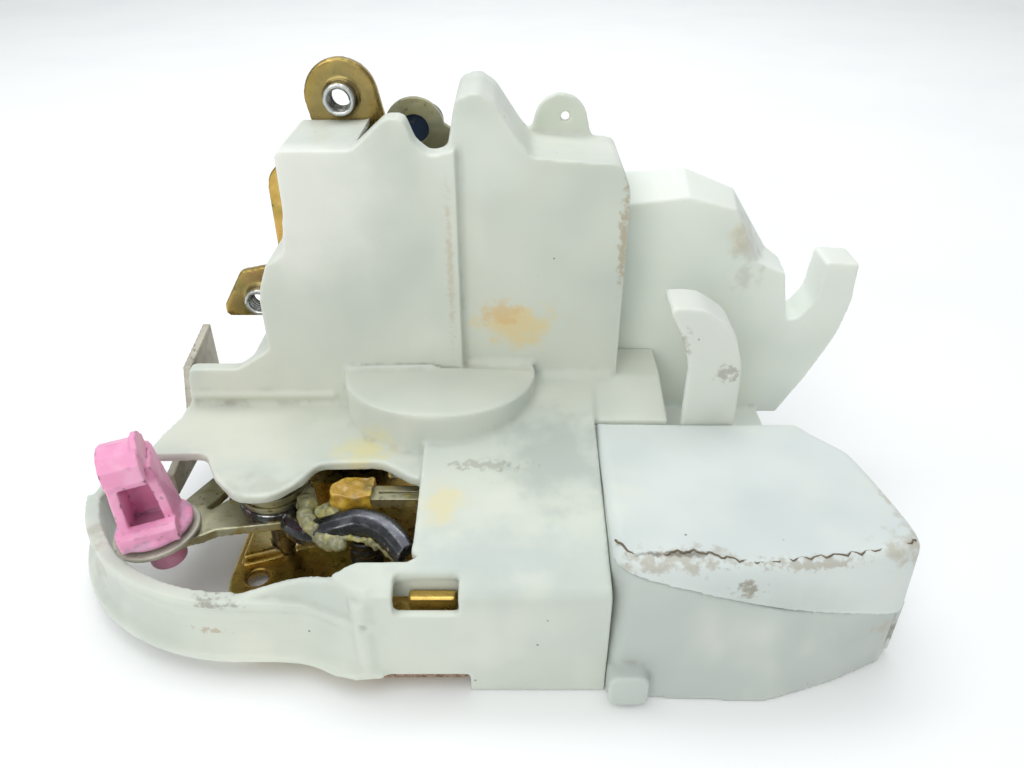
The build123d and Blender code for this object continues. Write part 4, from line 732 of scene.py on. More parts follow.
@dataclass(frozen=True)
class AmberGrease:
    """Moulded amber polyurethane under thick old lubricating grease: wet, lumpy and half clear."""

    name: str = "amber_grease"
    ground: str = "#B9912F"
    fresh: str = "#DDB943"
    aged: str = "#85753C"

    def build(self) -> bpy.types.Material:
        """Builds the material."""
        c = Canvas(self.name, self.ground)
        c.blotch(self.fresh, 3.0, 4.0, 0.5, 0.66, 0.85)
        c.blotch(self.aged, 4.4, 5.0, 0.52, 0.66, 0.75)
        c.blotch("#3B2C14", 2.0, 4.0, 0.4, 0.6, 0.85, c.hollows(0.08))
        c.emboss(c.cloud(1.3, 4.0), 0.22)
        return c.finish(Roughness=c.ramp(c.cloud(1.5, 3.0), 0.3, 0.7, 0.16, 0.42), IOR=1.47,
                        Subsurface_Weight=0.3, Subsurface_Radius=(1.0, 0.6, 0.2), Subsurface_Scale=0.0012,
                        Coat_Weight=0.6, Coat_Roughness=0.12)


@dataclass(frozen=True)
class MouldedPlastic:
    """Pigmented engineering plastic or rubber straight from the mould."""

    name: str
    ground: str
    bloom: str
    roughness: float = 0.45
    ior: float = 1.5
    coat: float = 0.0

    def build(self) -> bpy.types.Material:
        """Builds the material."""
        c = Canvas(self.name, self.ground)
        c.blotch(self.bloom, 6.0, 5.0, 0.5, 0.7, 0.5)
        c.blotch("#6B6250", 2.2, 6.0, 0.64, 0.74, 0.4)
        c.emboss(c.cloud(0.8, 3.0), 0.012)
        return c.finish(edge=0.3, Roughness=c.ramp(c.cloud(2.0, 3.0), 0.3, 0.7, self.roughness - 0.08,
                                                   self.roughness + 0.1),
                        IOR=self.ior, Coat_Weight=self.coat, Coat_Roughness=0.15)


@dataclass(frozen=True)
class CutBrass:
    """Machined or stamped brass: warm metal with fine tool lines."""

    name: str = "cut_brass"

    def build(self) -> bpy.types.Material:
        """Builds the material."""
        c = Canvas(self.name, "#C9A85A")
        c.blotch("#8E7238", 3.0, 4.0, 0.5, 0.7, 0.6)
        c.emboss(c.cloud(0.4, 2.0, (6.0, 1.0, 1.0)), 0.006)
        return c.finish(edge=0.15, Metallic=1.0, Roughness=c.ramp(c.cloud(2.0, 3.0), 0.3, 0.7, 0.24, 0.4))


# ---------------------------------------------------------------- pieces
@dataclass
class SubAssembly:
    """A group of pieces that share a place on the latch.

    Attributes:
        made: Pieces built so far.
    """

    made: list[bpy.types.Object] = field(default_factory=list, init=False)

    def keep(self, name: str, mesh: bpy.types.Mesh | bmesh.types.BMesh, material: bpy.types.Material,
             body: str, slot: str, *nodes: str) -> bpy.types.Object:
        """Turns a mesh into a dressed piece that moves with a body.

        Args:
            name: Name of the piece.
            mesh: Its mesh in metres.
            material: Its finish.
            body: Body that it rides on.
            slot: Material slot of the record; not used.
            nodes: CAD nodes that it stands for.

        Returns:
            The piece.
        """
        if isinstance(mesh, bmesh.types.BMesh):
            data = bpy.data.meshes.new(name)
            mesh.to_mesh(data)
            mesh.free()
        else:
            data = mesh
            data.name = name
        data.materials.clear()
        data.materials.append(material)
        data.polygons.foreach_set("use_smooth", [True] * len(data.polygons))
        piece = bpy.data.objects.new(name, data)
        bpy.context.scene.collection.objects.link(piece)
        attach(piece, body)
        if nodes:
            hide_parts(*nodes)
        self.made.append(piece)
        return piece

    def dress(self, material: bpy.types.Material, *nodes: str) -> None:
        """Gives CAD nodes a finish.

        Args:
            material: The finish.
            nodes: Names of the nodes.
        """
        for name in nodes:
            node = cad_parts[name]
            if not node.material_slots:
                node.data.materials.append(material)
            for slot in node.material_slots:
                slot.link = "OBJECT"
                slot.material = material
            self.made.append(node)

    def report(self) -> None:
        """Logs the pieces."""
        LOG.info("%s: %s", type(self).__name__, ", ".join(piece.name for piece in self.made))


@dataclass
class CoverMoulding(SubAssembly):
    """Main moulding with its panels, decks, bulge, window and round guard."""

    voxel: float = 0.5
    guard_middle: tuple[float, float] = (-56.0, 50.0)
    guard_radius: float = 42.8
    guard_end: float = 195.0
    guard_top: float = 19.0
    guard_foot: float = 4.6
    skirt_reach: float = 4.3
    edge_top: float = 27.0
    edge_slope: float = 0.26
    rim_start: float = -55.0
    rim_slope: float = 0.4
    rim_rise: float = 8.8
    rim_wall: float = 1.8
    cuts: tuple[tuple[Point, Point], ...] = (
        ((-82.0, 20.0, 25.0), (-19.7, 57.6, 28.7)),     # low skirt under the deck
        ((-80.0, 61.4, 25.0), (-58.2, 86.0, 43.0)),     # room behind the wing
        ((-30.0, 7.9, 24.0), (-19.7, 14.0, 32.0)),      # corner of the large window
        ((-22.6, -4.0, 22.2), (-10.2, 5.2, 31.0)),      # snap window
    )

    def guard_line(self) -> list[tuple[Vector, Vector]]:
        """Outer line of the guard in plan, with the way outwards at each place.

        Returns:
            Pairs of place and outward direction, in millimetres.
        """
        x0, y0 = self.guard_middle
        line = []
        for k in range(31):
            a = math.radians(self.guard_end + (270 - self.guard_end) * k / 30)
            out = Vector((math.cos(a), math.sin(a), 0))
            line.append((Vector((x0, y0, 0)) + out * self.guard_radius, out))
        lead = smooth_line([(-56, 7.2, 0), (-42, 6.6, 0), (-32.5, 2.8, 0), (-27.5, 0.4, 0)], 8)
        for a, b in zip(lead, lead[1:]):
            ahead = (b - a).normalized()
            line.append((b, Vector((ahead.y, -ahead.x, 0))))
        return line

    def skirt(self) -> bmesh.types.BMesh:
        """Flaring foot of the guard and the soft bead halfway up."""
        reach = self.skirt_reach
        section = [(-1.6, self.guard_foot), (reach - 0.5, self.guard_foot - 0.3), (reach, self.guard_foot + 0.4),
                   (reach - 0.9, self.guard_foot + 1.6), (1.9, 8.0), (0.9, 10.6), (0.75, 13.2), (1.1, 14.6),
                   (0.9, 16.4), (0.25, 18.6), (-0.4, self.guard_top + 0.1), (-1.6, self.guard_top - 0.1)]
        rings = []
        line = self.guard_line()
        for k, (place, out) in enumerate(line):
            fade = min(1.0, (len(line) - 1 - k) / 9.0)
            rings.append([at(*(place + out * (o * (0.25 + 0.75 * fade) if o > 0 else o) + Vector((0, 0, z))))
                          for o, z in section])
        return ring_stack(rings)

    def beads(self) -> list[bmesh.types.BMesh]:
        """Raised beads at the panels' feet and the lip round the deck's free edge."""
        straight = [((-39.0, 57.9, 41.2), (-18.0, 57.9, 41.2)), ((-14.5, 60.9, 41.3), (5.0, 60.9, 41.3)),
                    ((7.5, 60.9, 38.0), (24.0, 60.9, 38.0)), ((-77.0, 57.9, 34.0), (-43.0, 57.9, 34.0))]
        bars = [tube([at(*a), at(*b)], 0.75) for a, b in straight]
        lip = smooth_line([(-64.3, 31.6, 30.7), (-61.4, 28.2, 30.7), (-57.6, 25.2, 30.7), (-54.0, 24.4, 30.7),
                           (-50.4, 25.0, 30.7), (-47.0, 28.0, 30.7), (-45.0, 31.6, 30.7), (-42.6, 35.2, 30.7),
                           (-37.0, 36.1, 30.7), (-29.0, 35.9, 30.7), (-21.6, 30.9, 30.7)], 6)
        return bars + [tube([at(*p) for p in lip], 0.7)]

    def deck_slab(self, plan: Sequence[tuple[float, float]], thick: float = 1.8) -> bmesh.types.BMesh:
        """Plate on the slope of the front deck.

        Args:
            plan: Its outline in plan.
            thick: Its thickness.

        Returns:
            The plate's mesh.
        """
        top = [(x, y, self.edge_top + self.edge_slope * y) for x, y in plan]
        return ring_stack([[at(x, y, z - drop) for x, y, z in top] for drop in (thick, 0.0)])

    def window_rim(self) -> list[bmesh.types.BMesh]:
        """Shelf in front of the levers, the rising rim of the guard beside it and the rib behind the snap tongue."""
        shelf = self.deck_slab([(-34.6, 5.2), (-33.0, 3.0), (-28.0, 0.2), (-18.6, 0.2), (-18.6, 7.9), (-29.9, 7.9)])
        over_snap = self.deck_slab([(-23.4, 5.2), (-9.0, 5.2), (-9.0, 10.4), (-23.4, 7.8)])
        rib = box_solid((-23.8, 5.8, 20.7), (-9.6, 7.6, 28.0))
        rim = []
        for place, out in self.guard_line():
            rise = min((place.x - self.rim_start) * self.rim_slope, self.rim_rise)
            if rise > 0.0:
                inner, outer = place - out * self.rim_wall, place
                rim.append([at(p.x, p.y, z) for z in (self.guard_top - 2.0, self.guard_top + rise)
                            for p in ((inner, outer) if z < self.guard_top else (outer, inner))])
        return [shelf, over_snap, rib, ring_stack(rim)]

    def relief(self) -> bmesh.types.BMesh:
        """Solids that are cut away from the moulding."""
        return joined(box_solid(low, high) for low, high in self.cuts)

    def warp(self, p: np.ndarray) -> np.ndarray:
        """Slight sag and crease relief of the cooled moulding.

        Args:
            p: Places on the drawing.

        Returns:
            The moved places.
        """
        out = p.copy()
        x, y, z = p.T
        on_panels = np.clip((z - 44) / 10, 0, 1) * np.clip((84 - y) / 4, 0, 1)
        out[:, 1] += on_panels * 0.35 * np.sin(x / 9.0) * np.sin(z / 15.0)
        on_deck = np.clip((y - 14) / 6, 0, 1) * np.clip((58 - y) / 6, 0, 1) * (z > 26)
        out[:, 2] += on_deck * 0.25 * np.sin(x / 8.0 + 1.0) * np.sin(y / 9.0)
        in_bulge = np.clip(1 - ((x + 17) / 22) ** 2 - ((y - 58) / 19) ** 2, 0, 1) * (z > 38) * (y < 57.6)
        out[:, 2] += 0.9 * np.sqrt(in_bulge)
        return out

    def build(self, finish: Finishes) -> None:
        """Builds the moulding.

        Args:
            finish: Materials by name.
        """
        solids = [node_mesh("latch_cover"), self.skirt(), *self.beads(), *self.window_rim()]
        skin = moulded(joined(solids), self.voxel, 3, self.relief())
        shifted(skin, self.warp)
        self.keep("cover_moulding", skin, finish["cover"], "housing", "natural_plastic", "latch_cover")


@dataclass
class ActuatorBox(SubAssembly):
    """Closed motor box of two half shells with a sloping joint."""

    top: float = 34.0
    swell: float = 3.8
    round_over: float = 2.6
    joint_left: float = 31.5
    joint_drop: float = 0.25
    left: float = 19.0
    wall: float = 1.9

    def outline(self, height: float, inset: float) -> list[Vector]:
        """The box's outline at a height.

        Args:
            height: Height over the floor.
            inset: How far it stands in from the outer skin.

        Returns:
            Points on the drawing.
        """
        s = self.swell * (1 - height / self.top)
        points = [(19.0, 45.6), (19.0, 20.0), (19.0, 7.5 - s), (20.6, 3.6 - s), (25.0, 1.9 - s), (34.0, 1.2 - s),
                  (46.0, 0.9 - s), (57.0, 1.9 - s * 0.8), (66.0, 3.5 - s * 0.5), (74.6, 5.4 - s * 0.2), (77.8, 7.4),
                  (78.7, 11.5), (77.6, 20.0), (75.9, 29.0), (74.3, 35.6), (72.2, 38.6), (68.6, 42.8), (66.2, 46.0),
                  (63.0, 47.0), (42.0, 47.0), (21.0, 47.0)]
        line = smooth_line([(x, y, height) for x, y in points], 6, closed=True)
        middle = Vector((48.0, 24.0, height))
        return [p + (middle - p).normalized() * inset for p in line]

    def joint_height(self, x: float) -> float:
        """Height of the joint between the shells at x."""
        return self.joint_left - self.joint_drop * (x - self.left)

    def lid(self) -> bmesh.types.BMesh:
        """Upper shell, open below, with its rounded-over top edge."""
        ceiling = self.top - self.wall
        rings = [[at(p.x, p.y, ceiling) for p in self.outline(self.top, inset)] for inset in (21.0, 12.0, self.wall)]
        rings.append([at(p.x, p.y, self.joint_height(p.x) + 0.12) for p in self.outline(self.top, self.wall)])
        r = self.round_over
        low = [p.copy() for p in self.outline(self.top - r, 0.0)]
        for share in (0.0, 0.35, 0.7, 1.0):
            ring = []
            for p in low:
                foot = self.joint_height(p.x) + 0.12
                z = foot + (self.top - r - foot) * share
                s = self.swell * (self.top - r - z) / self.top
                near_front = min(1.0, max(0.0, (24.0 - p.y) / 20.0))
                ring.append(at(p.x, p.y - s * near_front * 0.8, z))
            rings.append(ring)
        for k in range(1, 7):
            a = math.radians(15 * k)
            ring = self.outline(self.top - r + r * math.sin(a), r * (1 - math.cos(a)))
            rings.append([at(*p) for p in ring])
        for inset in (6.0, 12.0, 17.0, 21.0):
            dome = 0.25 * inset / 21.0
            rings.append([at(p.x, p.y, self.top + dome) for p in self.outline(self.top, inset)])
        return ring_stack(rings)

    def grime(self) -> bmesh.types.BMesh:
        """Wavy line of dirt that has dried in the scratch along the lid's front edge."""
        line = smooth_line([(19.6, 8.2, 33.95), (22.0, 5.4, 33.7), (25.6, 3.9, 33.4), (30.0, 4.8, 33.95),
                            (35.1, 4.9, 34.0), (40.4, 3.4, 33.8), (45.7, 2.8, 33.5), (52.0, 3.4, 33.6),
                            (59.1, 4.2, 33.7), (68.0, 5.6, 33.6), (77.0, 8.2, 33.6)], 10)
        wave = [p + Vector((0, 0.35 * math.sin(p.x * 1.9) + 0.2 * math.sin(p.x * 4.3), 0)) for p in line]
        return tube([at(p.x, p.y, p.z + 0.1) for p in wave], 0.24, 6)

    def build(self, finish: Finishes) -> None:
        """Builds both shells.

        Args:
            finish: Materials by name.
        """
        skin = moulded(self.lid(), 0.5, 2)
        self.keep("box_lid", skin, finish["lid"], "housing", "lid_plastic", "actuator_lid")
        skin = moulded(node_mesh("actuator_case"), 0.5, 3)
        self.keep("box_case", skin, finish["case"], "housing", "natural_plastic", "actuator_case")
        self.keep("box_grime", self.grime(), finish["dirt"], "housing", "lid_plastic")


@dataclass
class HarnessGuide(SubAssembly):
    """Shield and hood that lead the cables past the latch."""

    voxel: float = 0.45

    def build(self, finish: Finishes) -> None:
        """Builds shield and hood.

        Args:
            finish: Materials by name.
        """
        skin = moulded(node_mesh("harness_shield"), self.voxel, 2)
        self.keep("cable_shield", skin, finish["shield"], "housing", "shield_plastic", "harness_shield")
        skin = moulded(node_mesh("harness_hood"), self.voxel, 5)
        self.keep("cable_hood", skin, finish["hood"], "housing", "hood_plastic", "harness_hood")


@dataclass
class RodClip(SubAssembly):
    """Pink clip that holds the inside handle's rod. It leans to the left with the lever's end.

    Attributes:
        lean: Degrees that it leans.
        washer: Thickness of the washer that it stands on.
        arm: Thickness of its two side arms.
        half: Half its width at the hook.
        flare: How much further out its foot stands.
        turn: Degrees that its mouth is turned to the right.
    """

    lean: float = 6.0
    washer: float = 1.2
    arm: float = 2.1
    half: float = 4.6
    flare: float = 1.3
    turn: float = 17.0

    def place(self, u: float, v: float, w: float) -> Vector:
        """Turns the clip's own sizes into the frame.

        Args:
            u: Across the clip.
            v: Front to back on the clip.
            w: Height over its flange's foot.

        Returns:
            The place in metres.
        """
        lean = Matrix.Rotation(math.radians(-self.lean), 3, "Y") @ Matrix.Rotation(math.radians(self.turn), 3, "Z")
        return at(*(middle_of("clip_washer") + lean @ Vector((u, v, w + self.washer / 2 + 0.1))))

    def slab(self, left: Sequence[float], right: Sequence[float], profile: Section) -> bmesh.types.BMesh:
        """Piece of the clip with one profile across its width.

        Args:
            left: Left side at each point of the profile, or one value for all.
            right: Right side at each point, or one value for all.
            profile: Depth and height pairs.

        Returns:
            The slab's mesh.
        """
        count = len(profile)
        sides = [list(side) * count if len(side) == 1 else side for side in (left, right)]
        return ring_stack([[self.place(u, v, w) for u, (v, w) in zip(side, profile)] for side in sides])

    def solids(self) -> list[bmesh.types.BMesh]:
        """Flange, stub, back, arms, sill and curled hook of the clip."""
        half, arm, foot = self.half, self.arm, self.half + self.flare
        flange = turned(self.place, [(0.5, 0.0), (5.0, 0.1), (7.9, 0.6), (8.3, 1.0), (8.3, 1.6), (7.7, 2.2), (5.6, 2.6),
                                      (0.5, 2.7)])
        stub = turned(self.place, [(0.3, -9.4), (3.2, -9.3), (4.0, -8.6), (4.1, -3.7), (2.9, -3.6), (2.9, 0.3)])
        back = self.slab([-half], [half - 0.4], [(2.6, 1.0), (5.6, 1.0), (5.6, 19.0), (3.0, 19.0)])
        outer = [foot, foot, half, half, half + 0.3, half + 0.8]
        left = self.slab([-side for side in outer], [arm - side for side in outer],
                         [(-6.2, 1.4), (5.0, 1.4), (5.2, 18.0), (-4.2, 17.0), (-4.6, 12.0), (-5.0, 7.0)])
        right = self.slab([side - arm for side in outer], outer,
                          [(-4.8, 1.4), (5.0, 1.4), (5.2, 18.5), (-2.4, 17.6), (-1.8, 10.0), (-3.4, 4.6)])
        sill = self.slab([-foot - 0.3], [foot], [(-7.3, 0.9), (-3.4, 0.9), (-3.6, 4.6), (-4.4, 5.4), (-6.4, 5.2),
                                                 (-7.4, 4.2)])
        arch = [(5.6, 15.0), (5.4, 19.4), (3.6, 22.0), (0.6, 23.0), (-2.6, 22.2), (-4.8, 19.8), (-5.2, 16.2),
                (-4.4, 14.6), (-3.2, 14.8), (-2.6, 17.4), (-1.0, 19.4), (1.0, 20.0), (2.6, 18.4), (2.8, 15.0)]
        hook = self.slab([-half], [half - 1.2], arch)
        ear = self.slab([half - 2.2], [half - 0.8], [(4.6, 15.0), (4.6, 21.4), (2.4, 23.8), (-0.4, 24.4),
                                                    (-2.6, 22.6), (-2.4, 16.0)])
        return [flange, stub, back, left, right, sill, hook, ear]

    def build(self, finish: Finishes) -> None:
        """Builds the clip."""
        skin = moulded(joined(self.solids()), 0.26, 4)
        self.keep("rod_clip_moulding", skin, finish["clip"], "clip", "pink_plastic", "rod_clip")


@dataclass
class ReleaseGear(SubAssembly):
    """Levers, stud, spring, greasy block and bumper that show in the cover's window.

    Attributes:
        arm_crown: Crown of the curved arm on the drawing, from the hub to its free end.
        arm_section: Reach and height pairs of its rolled strip.
        hub_grease: Where old grease has piled up between hub and arm.
        block_grease: Where it clings to the front of the block.
    """

    arm_crown: tuple[Point, ...] = (
        (-52.0, 34.0, 20.2), (-47.0, 28.4, 20.8), (-42.6, 25.2, 22.4), (-37.8, 24.3, 24.6), (-32.4, 24.3, 26.0),
        (-27.0, 21.9, 25.9), (-23.4, 18.6, 25.0), (-21.4, 16.2, 23.8))
    arm_section: tuple[tuple[float, float], ...] = (
        (2.0, -5.0), (2.7, -4.6), (2.9, -2.6), (2.3, -0.6), (1.0, 0.5), (-0.6, 0.8), (-1.7, 0.4), (-2.2, -0.8),
        (-2.0, -2.2), (-0.6, -2.0), (0.9, -2.4), (1.2, -4.8))
    hub_grease: tuple[Point, ...] = (
        (-45.6, 34.0, 22.6), (-45.4, 29.6, 22.0), (-44.0, 26.0, 21.8), (-41.0, 22.8, 21.0), (-37.0, 21.6, 20.8))
    edge_grease: tuple[Point, ...] = (
        (-38.0, 21.4, 21.4), (-33.0, 21.3, 21.8), (-29.0, 20.0, 21.4), (-25.0, 16.8, 20.8), (-22.4, 14.2, 20.4))
    block_grease: tuple[Point, ...] = ((-41.0, 28.2, 22.4), (-38.6, 26.9, 22.8), (-36.4, 26.8, 21.4))
    bumper: Point = (-33.9, 33.0, 4.3)
    block_top: float = 28.2
    washer_growth: float = 1.1
    lean: float = 6.0
    bend: float = 6.5
    step: float = 3.5
    coil_radius: float = 6.1
    coil_foot: float = 25.8
    coil_pitch: float = 1.35
    coil_turns: float = 1.7
    coil_wire: float = 0.6
    coil_leg: float = 8.5
    coil_start: float = -81.5

    def leaning(self, p: np.ndarray) -> np.ndarray:
        """Leans the lever's end to the left and steps it down to the flat hub.

        Args:
            p: Places on the drawing.

        Returns:
            The moved places.
        """
        out = p.copy()
        reach = p[:, 0] - middle_of("clip_washer").x
        down = np.clip((self.bend + self.step - reach) / self.step, 0.0, 1.0)
        down = down * down * (3 - 2 * down)
        out[:, 2] += np.minimum(reach, self.bend) * math.tan(math.radians(self.lean)) * down
        return out

    def tipped(self, p: np.ndarray) -> np.ndarray:
        """Leans the washer with the lever's end and dishes it a little wider."""
        middle = middle_of("clip_washer")
        out = p.copy()
        out[:, 0] = middle.x + (p[:, 0] - middle.x) * self.washer_growth
        out[:, 1] = middle.y + (p[:, 1] - middle.y) * self.washer_growth
        out[:, 2] += (p[:, 0] - middle.x) * math.tan(math.radians(self.lean))
        return out

    def spring(self) -> bmesh.types.BMesh:
        """Coil round the stud's head with one straight end."""
        x, y, _ = middle_of("lever_stud")
        start = math.radians(self.coil_start)
        sides = 24
        line = helix(upright(x, y, self.coil_foot), self.coil_radius, int(self.coil_turns * sides),
                     self.coil_pitch / sides, sides, start)
        away = Vector((math.sin(start), -math.cos(start), 0.0)) * self.coil_leg * MM
        return tube([line[0] + away * share for share in (1.0, 0.6, 0.25)] + line, self.coil_wire)

    def lumpy(self, p: np.ndarray) -> np.ndarray:
        """Swells grease.

        Args:
            p: Places on the drawing.

        Returns:
            The moved places.
        """
        out = p.copy()
        for k, place in enumerate(p):
            out[k] += np.array(noise.noise_vector(Vector(place) * 0.5)) * 0.5
        return out

    def piled(self, p: np.ndarray) -> np.ndarray:
        """Raises the greasy block to just under the deck and roughens it.

        Args:
            p: Places on the drawing.

        Returns:
            The moved places.
        """
        out = self.lumpy(p)
        foot, crown = p[:, 2].min(), p[:, 2].max()
        out[:, 2] = foot + (out[:, 2] - foot) * (self.block_top - foot) / (crown - foot)
        return out

    def smeared(self, points: Sequence[Point], radius: float, spread: float) -> bpy.types.Mesh:
        """Fused lumps of grease along a line.

        Args:
            points: Points that the line goes through.
            radius: Middle radius of a lump.
            spread: How far lumps stray.

        Returns:
            The lumps' skin.
        """
        line = smooth_line(points, 5)
        skin = moulded(joined([lumps(line, radius, spread), lumps(line, radius * 0.6, spread * 1.8, 5.0)]), 0.22, 2)
        shifted(skin, self.lumpy)
        return skin

    def bumper_mesh(self) -> bmesh.types.BMesh:
        """Domed rubber bumper with two waists."""
        return turned(upright(*self.bumper), [
            (3.9, 0.02), (4.0, 0.6), (4.0, 2.0), (3.4, 2.5), (3.4, 3.0), (4.0, 3.5), (4.0, 4.6), (3.3, 5.2),
            (3.5, 5.8), (3.3, 6.8), (2.4, 7.3), (0.3, 7.5)])

    def build(self, finish: Finishes) -> None:
        """Builds and dresses the gear.

        Args:
            finish: Materials by name.
        """
        x, y, _ = middle_of("lever_stud")
        hub = turned(upright(x, y, 19.0), [(8.1, 0.02), (8.2, 0.3), (8.2, 1.8), (8.0, 2.15), (3.1, 2.18)])
        strip = swept(smooth_line(self.arm_crown, 8), self.arm_section)
        self.keep("worn_arm", moulded(joined([hub, strip]), 0.25, 3), finish["arm"], "release", "arm_steel",
                  "curved_arm")
        block = moulded(node_mesh("resin_block"), 0.3, 3)
        shifted(block, self.piled)
        self.keep("greasy_block", block, finish["block"], "rack", "resin", "resin_block")
        for name, line, radius, spread, body in (
                ("block_grease", self.block_grease, 2.2, 1.4, "rack"),
                ("hub_grease", self.hub_grease, 1.8, 1.3, "release"),
                ("edge_grease", self.edge_grease, 0.75, 0.6, "release")):
            self.keep(name, self.smeared(line, radius, spread), finish["old_grease"], body, "resin")
        self.keep("rubber_bumper", self.bumper_mesh(), finish["rubber"], "housing", "black_rubber", "stop_bumper")
        lever = moulded(node_mesh("release_lever"), 0.3, 1)
        shifted(lever, self.leaning)
        self.keep("bent_lever", lever, finish["greased"], "release", "olive_steel", "release_lever")
        washer = moulded(node_mesh("clip_washer"), 0.22, 2)
        shifted(washer, self.tipped)
        self.keep("tipped_washer", washer, finish["zinc"], "release", "zinc_steel", "clip_washer")
        self.keep("return_coil", self.spring(), finish["spring"], "housing", "spring_steel", "return_spring")
        self.dress(finish["greased"], "pivot_drum", "lock_rack")
        self.dress(finish["spring"], "lever_stud")


@dataclass
class SteelFrame(SubAssembly):
    """Face plate and leg, screw threads, side bracket, handle lever and the pins that hold them."""

    plate_back: float = 84.3
    collar_front: float = 78.8
    thread_radius: float = 2.5
    thread_pitch: float = 1.0
    thread_start: float = 0.3
    thread_ridge: float = 0.22
    rivet_places: tuple[float, float] = (-64.2, -60.4)
    rivet_height: float = 21.0
    rivet_profile: tuple[tuple[float, float], ...] = (
        (0.3, 79.0), (1.5, 79.05), (1.8, 79.6), (1.8, 80.0), (1.2, 80.1), (1.2, 84.3))
    holes: tuple[tuple[float, float], ...] = ((-38.3, 98.0), (-64.5, 48.0), (8.0, 54.0))

    def thread(self, x: float, z: float) -> bmesh.types.BMesh:
        """Thread ridge inside a tapped hole.

        Args:
            x: Hole's place to the right.
            z: Hole's height.

        Returns:
            The ridge's mesh.
        """
        sides = 20
        length = self.plate_back - self.collar_front - 2 * self.thread_start
        count = int(sides * length / self.thread_pitch)
        foot = self.collar_front + self.thread_start
        return tube(helix(lambda u, v, w: at(x + u, foot + w, z + v), self.thread_radius, count, length / count,
                          sides), self.thread_ridge, 6)

    def pad(self) -> bmesh.types.BMesh:
        """Stiffening pad pressed up out of the leg, with its round front edge."""
        edge = smooth_line([(-62.8, 30.6, 0), (-57.0, 32.6, 0), (-50.5, 35.7, 0), (-44.8, 39.4, 0), (-41.0, 44.5, 0),
                            (-40.4, 50.0, 0)], 5)
        plan = [(p.x, p.y) for p in edge] + [(-40.4, 57.0), (-62.8, 57.0)]
        middle = Vector((-52.0, 48.0))
        rings = []
        for z, inset in ((3.0, 0.0), (5.6, 0.0), (6.4, 0.4), (6.7, 1.2)):
            ring = [Vector(p) + (middle - Vector(p)).normalized() * inset for p in plan]
            rings.append([at(p.x, p.y, z) for p in ring])
        return ring_stack(rings)

    def sheet(self) -> bpy.types.Mesh:
        """Pressed sheet of face plate and leg, with the pad and a lower snap tongue."""
        low_tongue = box_solid((-21.0, -0.5, 23.7), (-9.6, 5.8, 28.0))
        above_foot = box_solid((-67.0, 81.0, 26.2), (-58.2, 86.0, 42.3))
        stud_hole = turned(upright(-54.0, 37.0, 0.0), [(3.0, 0.0), (3.0, 9.0)], 32)
        cut = joined([low_tongue, above_foot, stud_hole])
        return moulded(joined([node_mesh("latch_frame"), self.pad()]), 0.36, 2, cut)

    def bracket(self) -> bpy.types.Mesh:
        """Side bracket with a rising upper edge and a low foot in front of the face plate."""
        side = [(64.7, 37.6), (82.0, 40.4), (82.0, 15.5), (42.5, 15.5), (42.5, 21.5), (55.0, 23.4), (60.5, 27.0)]
        flange = ring_stack([[at(x, y, z) for y, z in side] for x in (-81.2, -79.2)])
        foot = box_solid((-81.2, 80.0, 15.5), (-58.4, 82.0, 26.0))
        return moulded(joined([flange, foot]), 0.3, 2)

    def rivet(self, x: float) -> bmesh.types.BMesh:
        """Rivet through the bracket's foot, flush with the back of the plate."""
        return turned(lambda u, v, w: at(x + u, w, self.rivet_height + v), self.rivet_profile, 24)

    def build(self, finish: Finishes) -> None:
        """Builds sheet, bracket, rivets and threads and dresses the other steel nodes.

        Args:
            finish: Materials by name.
        """
        steel, zinc, gold = finish["steel"], finish["zinc"], finish["gold"]
        threads = joined([self.thread(x, z) for x, z in self.holes])
        self.keep("screw_threads", threads, steel, "housing", "pin_steel")
        self.keep("pressed_sheet", self.sheet(), gold, "housing", "gold_steel", "latch_frame")
        self.keep("bent_bracket", self.bracket(), zinc, "housing", "zinc_steel", "side_bracket")
        rivets = joined([self.rivet(x) for x in self.rivet_places])
        self.keep("bracket_riveting", rivets, zinc, "housing", "pin_steel", "bracket_rivets")
        self.dress(gold, "backing_plate")
        self.dress(finish["olive"], "ring_lever")
        self.dress(steel, "claw", "pawl", "claw_pin", "pawl_pin", "ring_lever_pin", "claw_spring", "pawl_spring")
        self.dress(finish["slate"], "latch_body")


@dataclass
class LockDrive(SubAssembly):
    """Motor, worm and worm wheel inside the box."""

    axis_y: float = 17.0
    axis_z: float = 17.0
    worm_start: float = 25.7
    worm_end: float = 38.7
    worm_radius: float = 3.35
    worm_pitch: float = 2.8
    worm_ridge: float = 0.42

    def worm_thread(self) -> bmesh.types.BMesh:
        """Thread wound on the worm blank."""
        sides = 24
        length = self.worm_end - self.worm_start
        count = int(sides * length / self.worm_pitch)
        line = helix(lambda u, v, w: at(self.worm_start + w, self.axis_y + u, self.axis_z + v), self.worm_radius,
                     count, length / count, sides)
        return tube(line, self.worm_ridge, 6)

    def build(self, finish: Finishes) -> None:
        """Builds the thread and dresses the drive.

        Args:
            finish: Materials by name.
        """
        self.keep("worm_thread", self.worm_thread(), finish["brass"], "rotor", "worm_brass")
        self.dress(finish["can"], "motor_can")
        self.dress(finish["black"], "motor_end_cap")
        self.dress(finish["brass"], "worm", "motor_terminals")
        self.dress(finish["steel"], "motor_shaft", "wheel_pin", "case_screws")
        self.dress(finish["gear"], "worm_wheel")


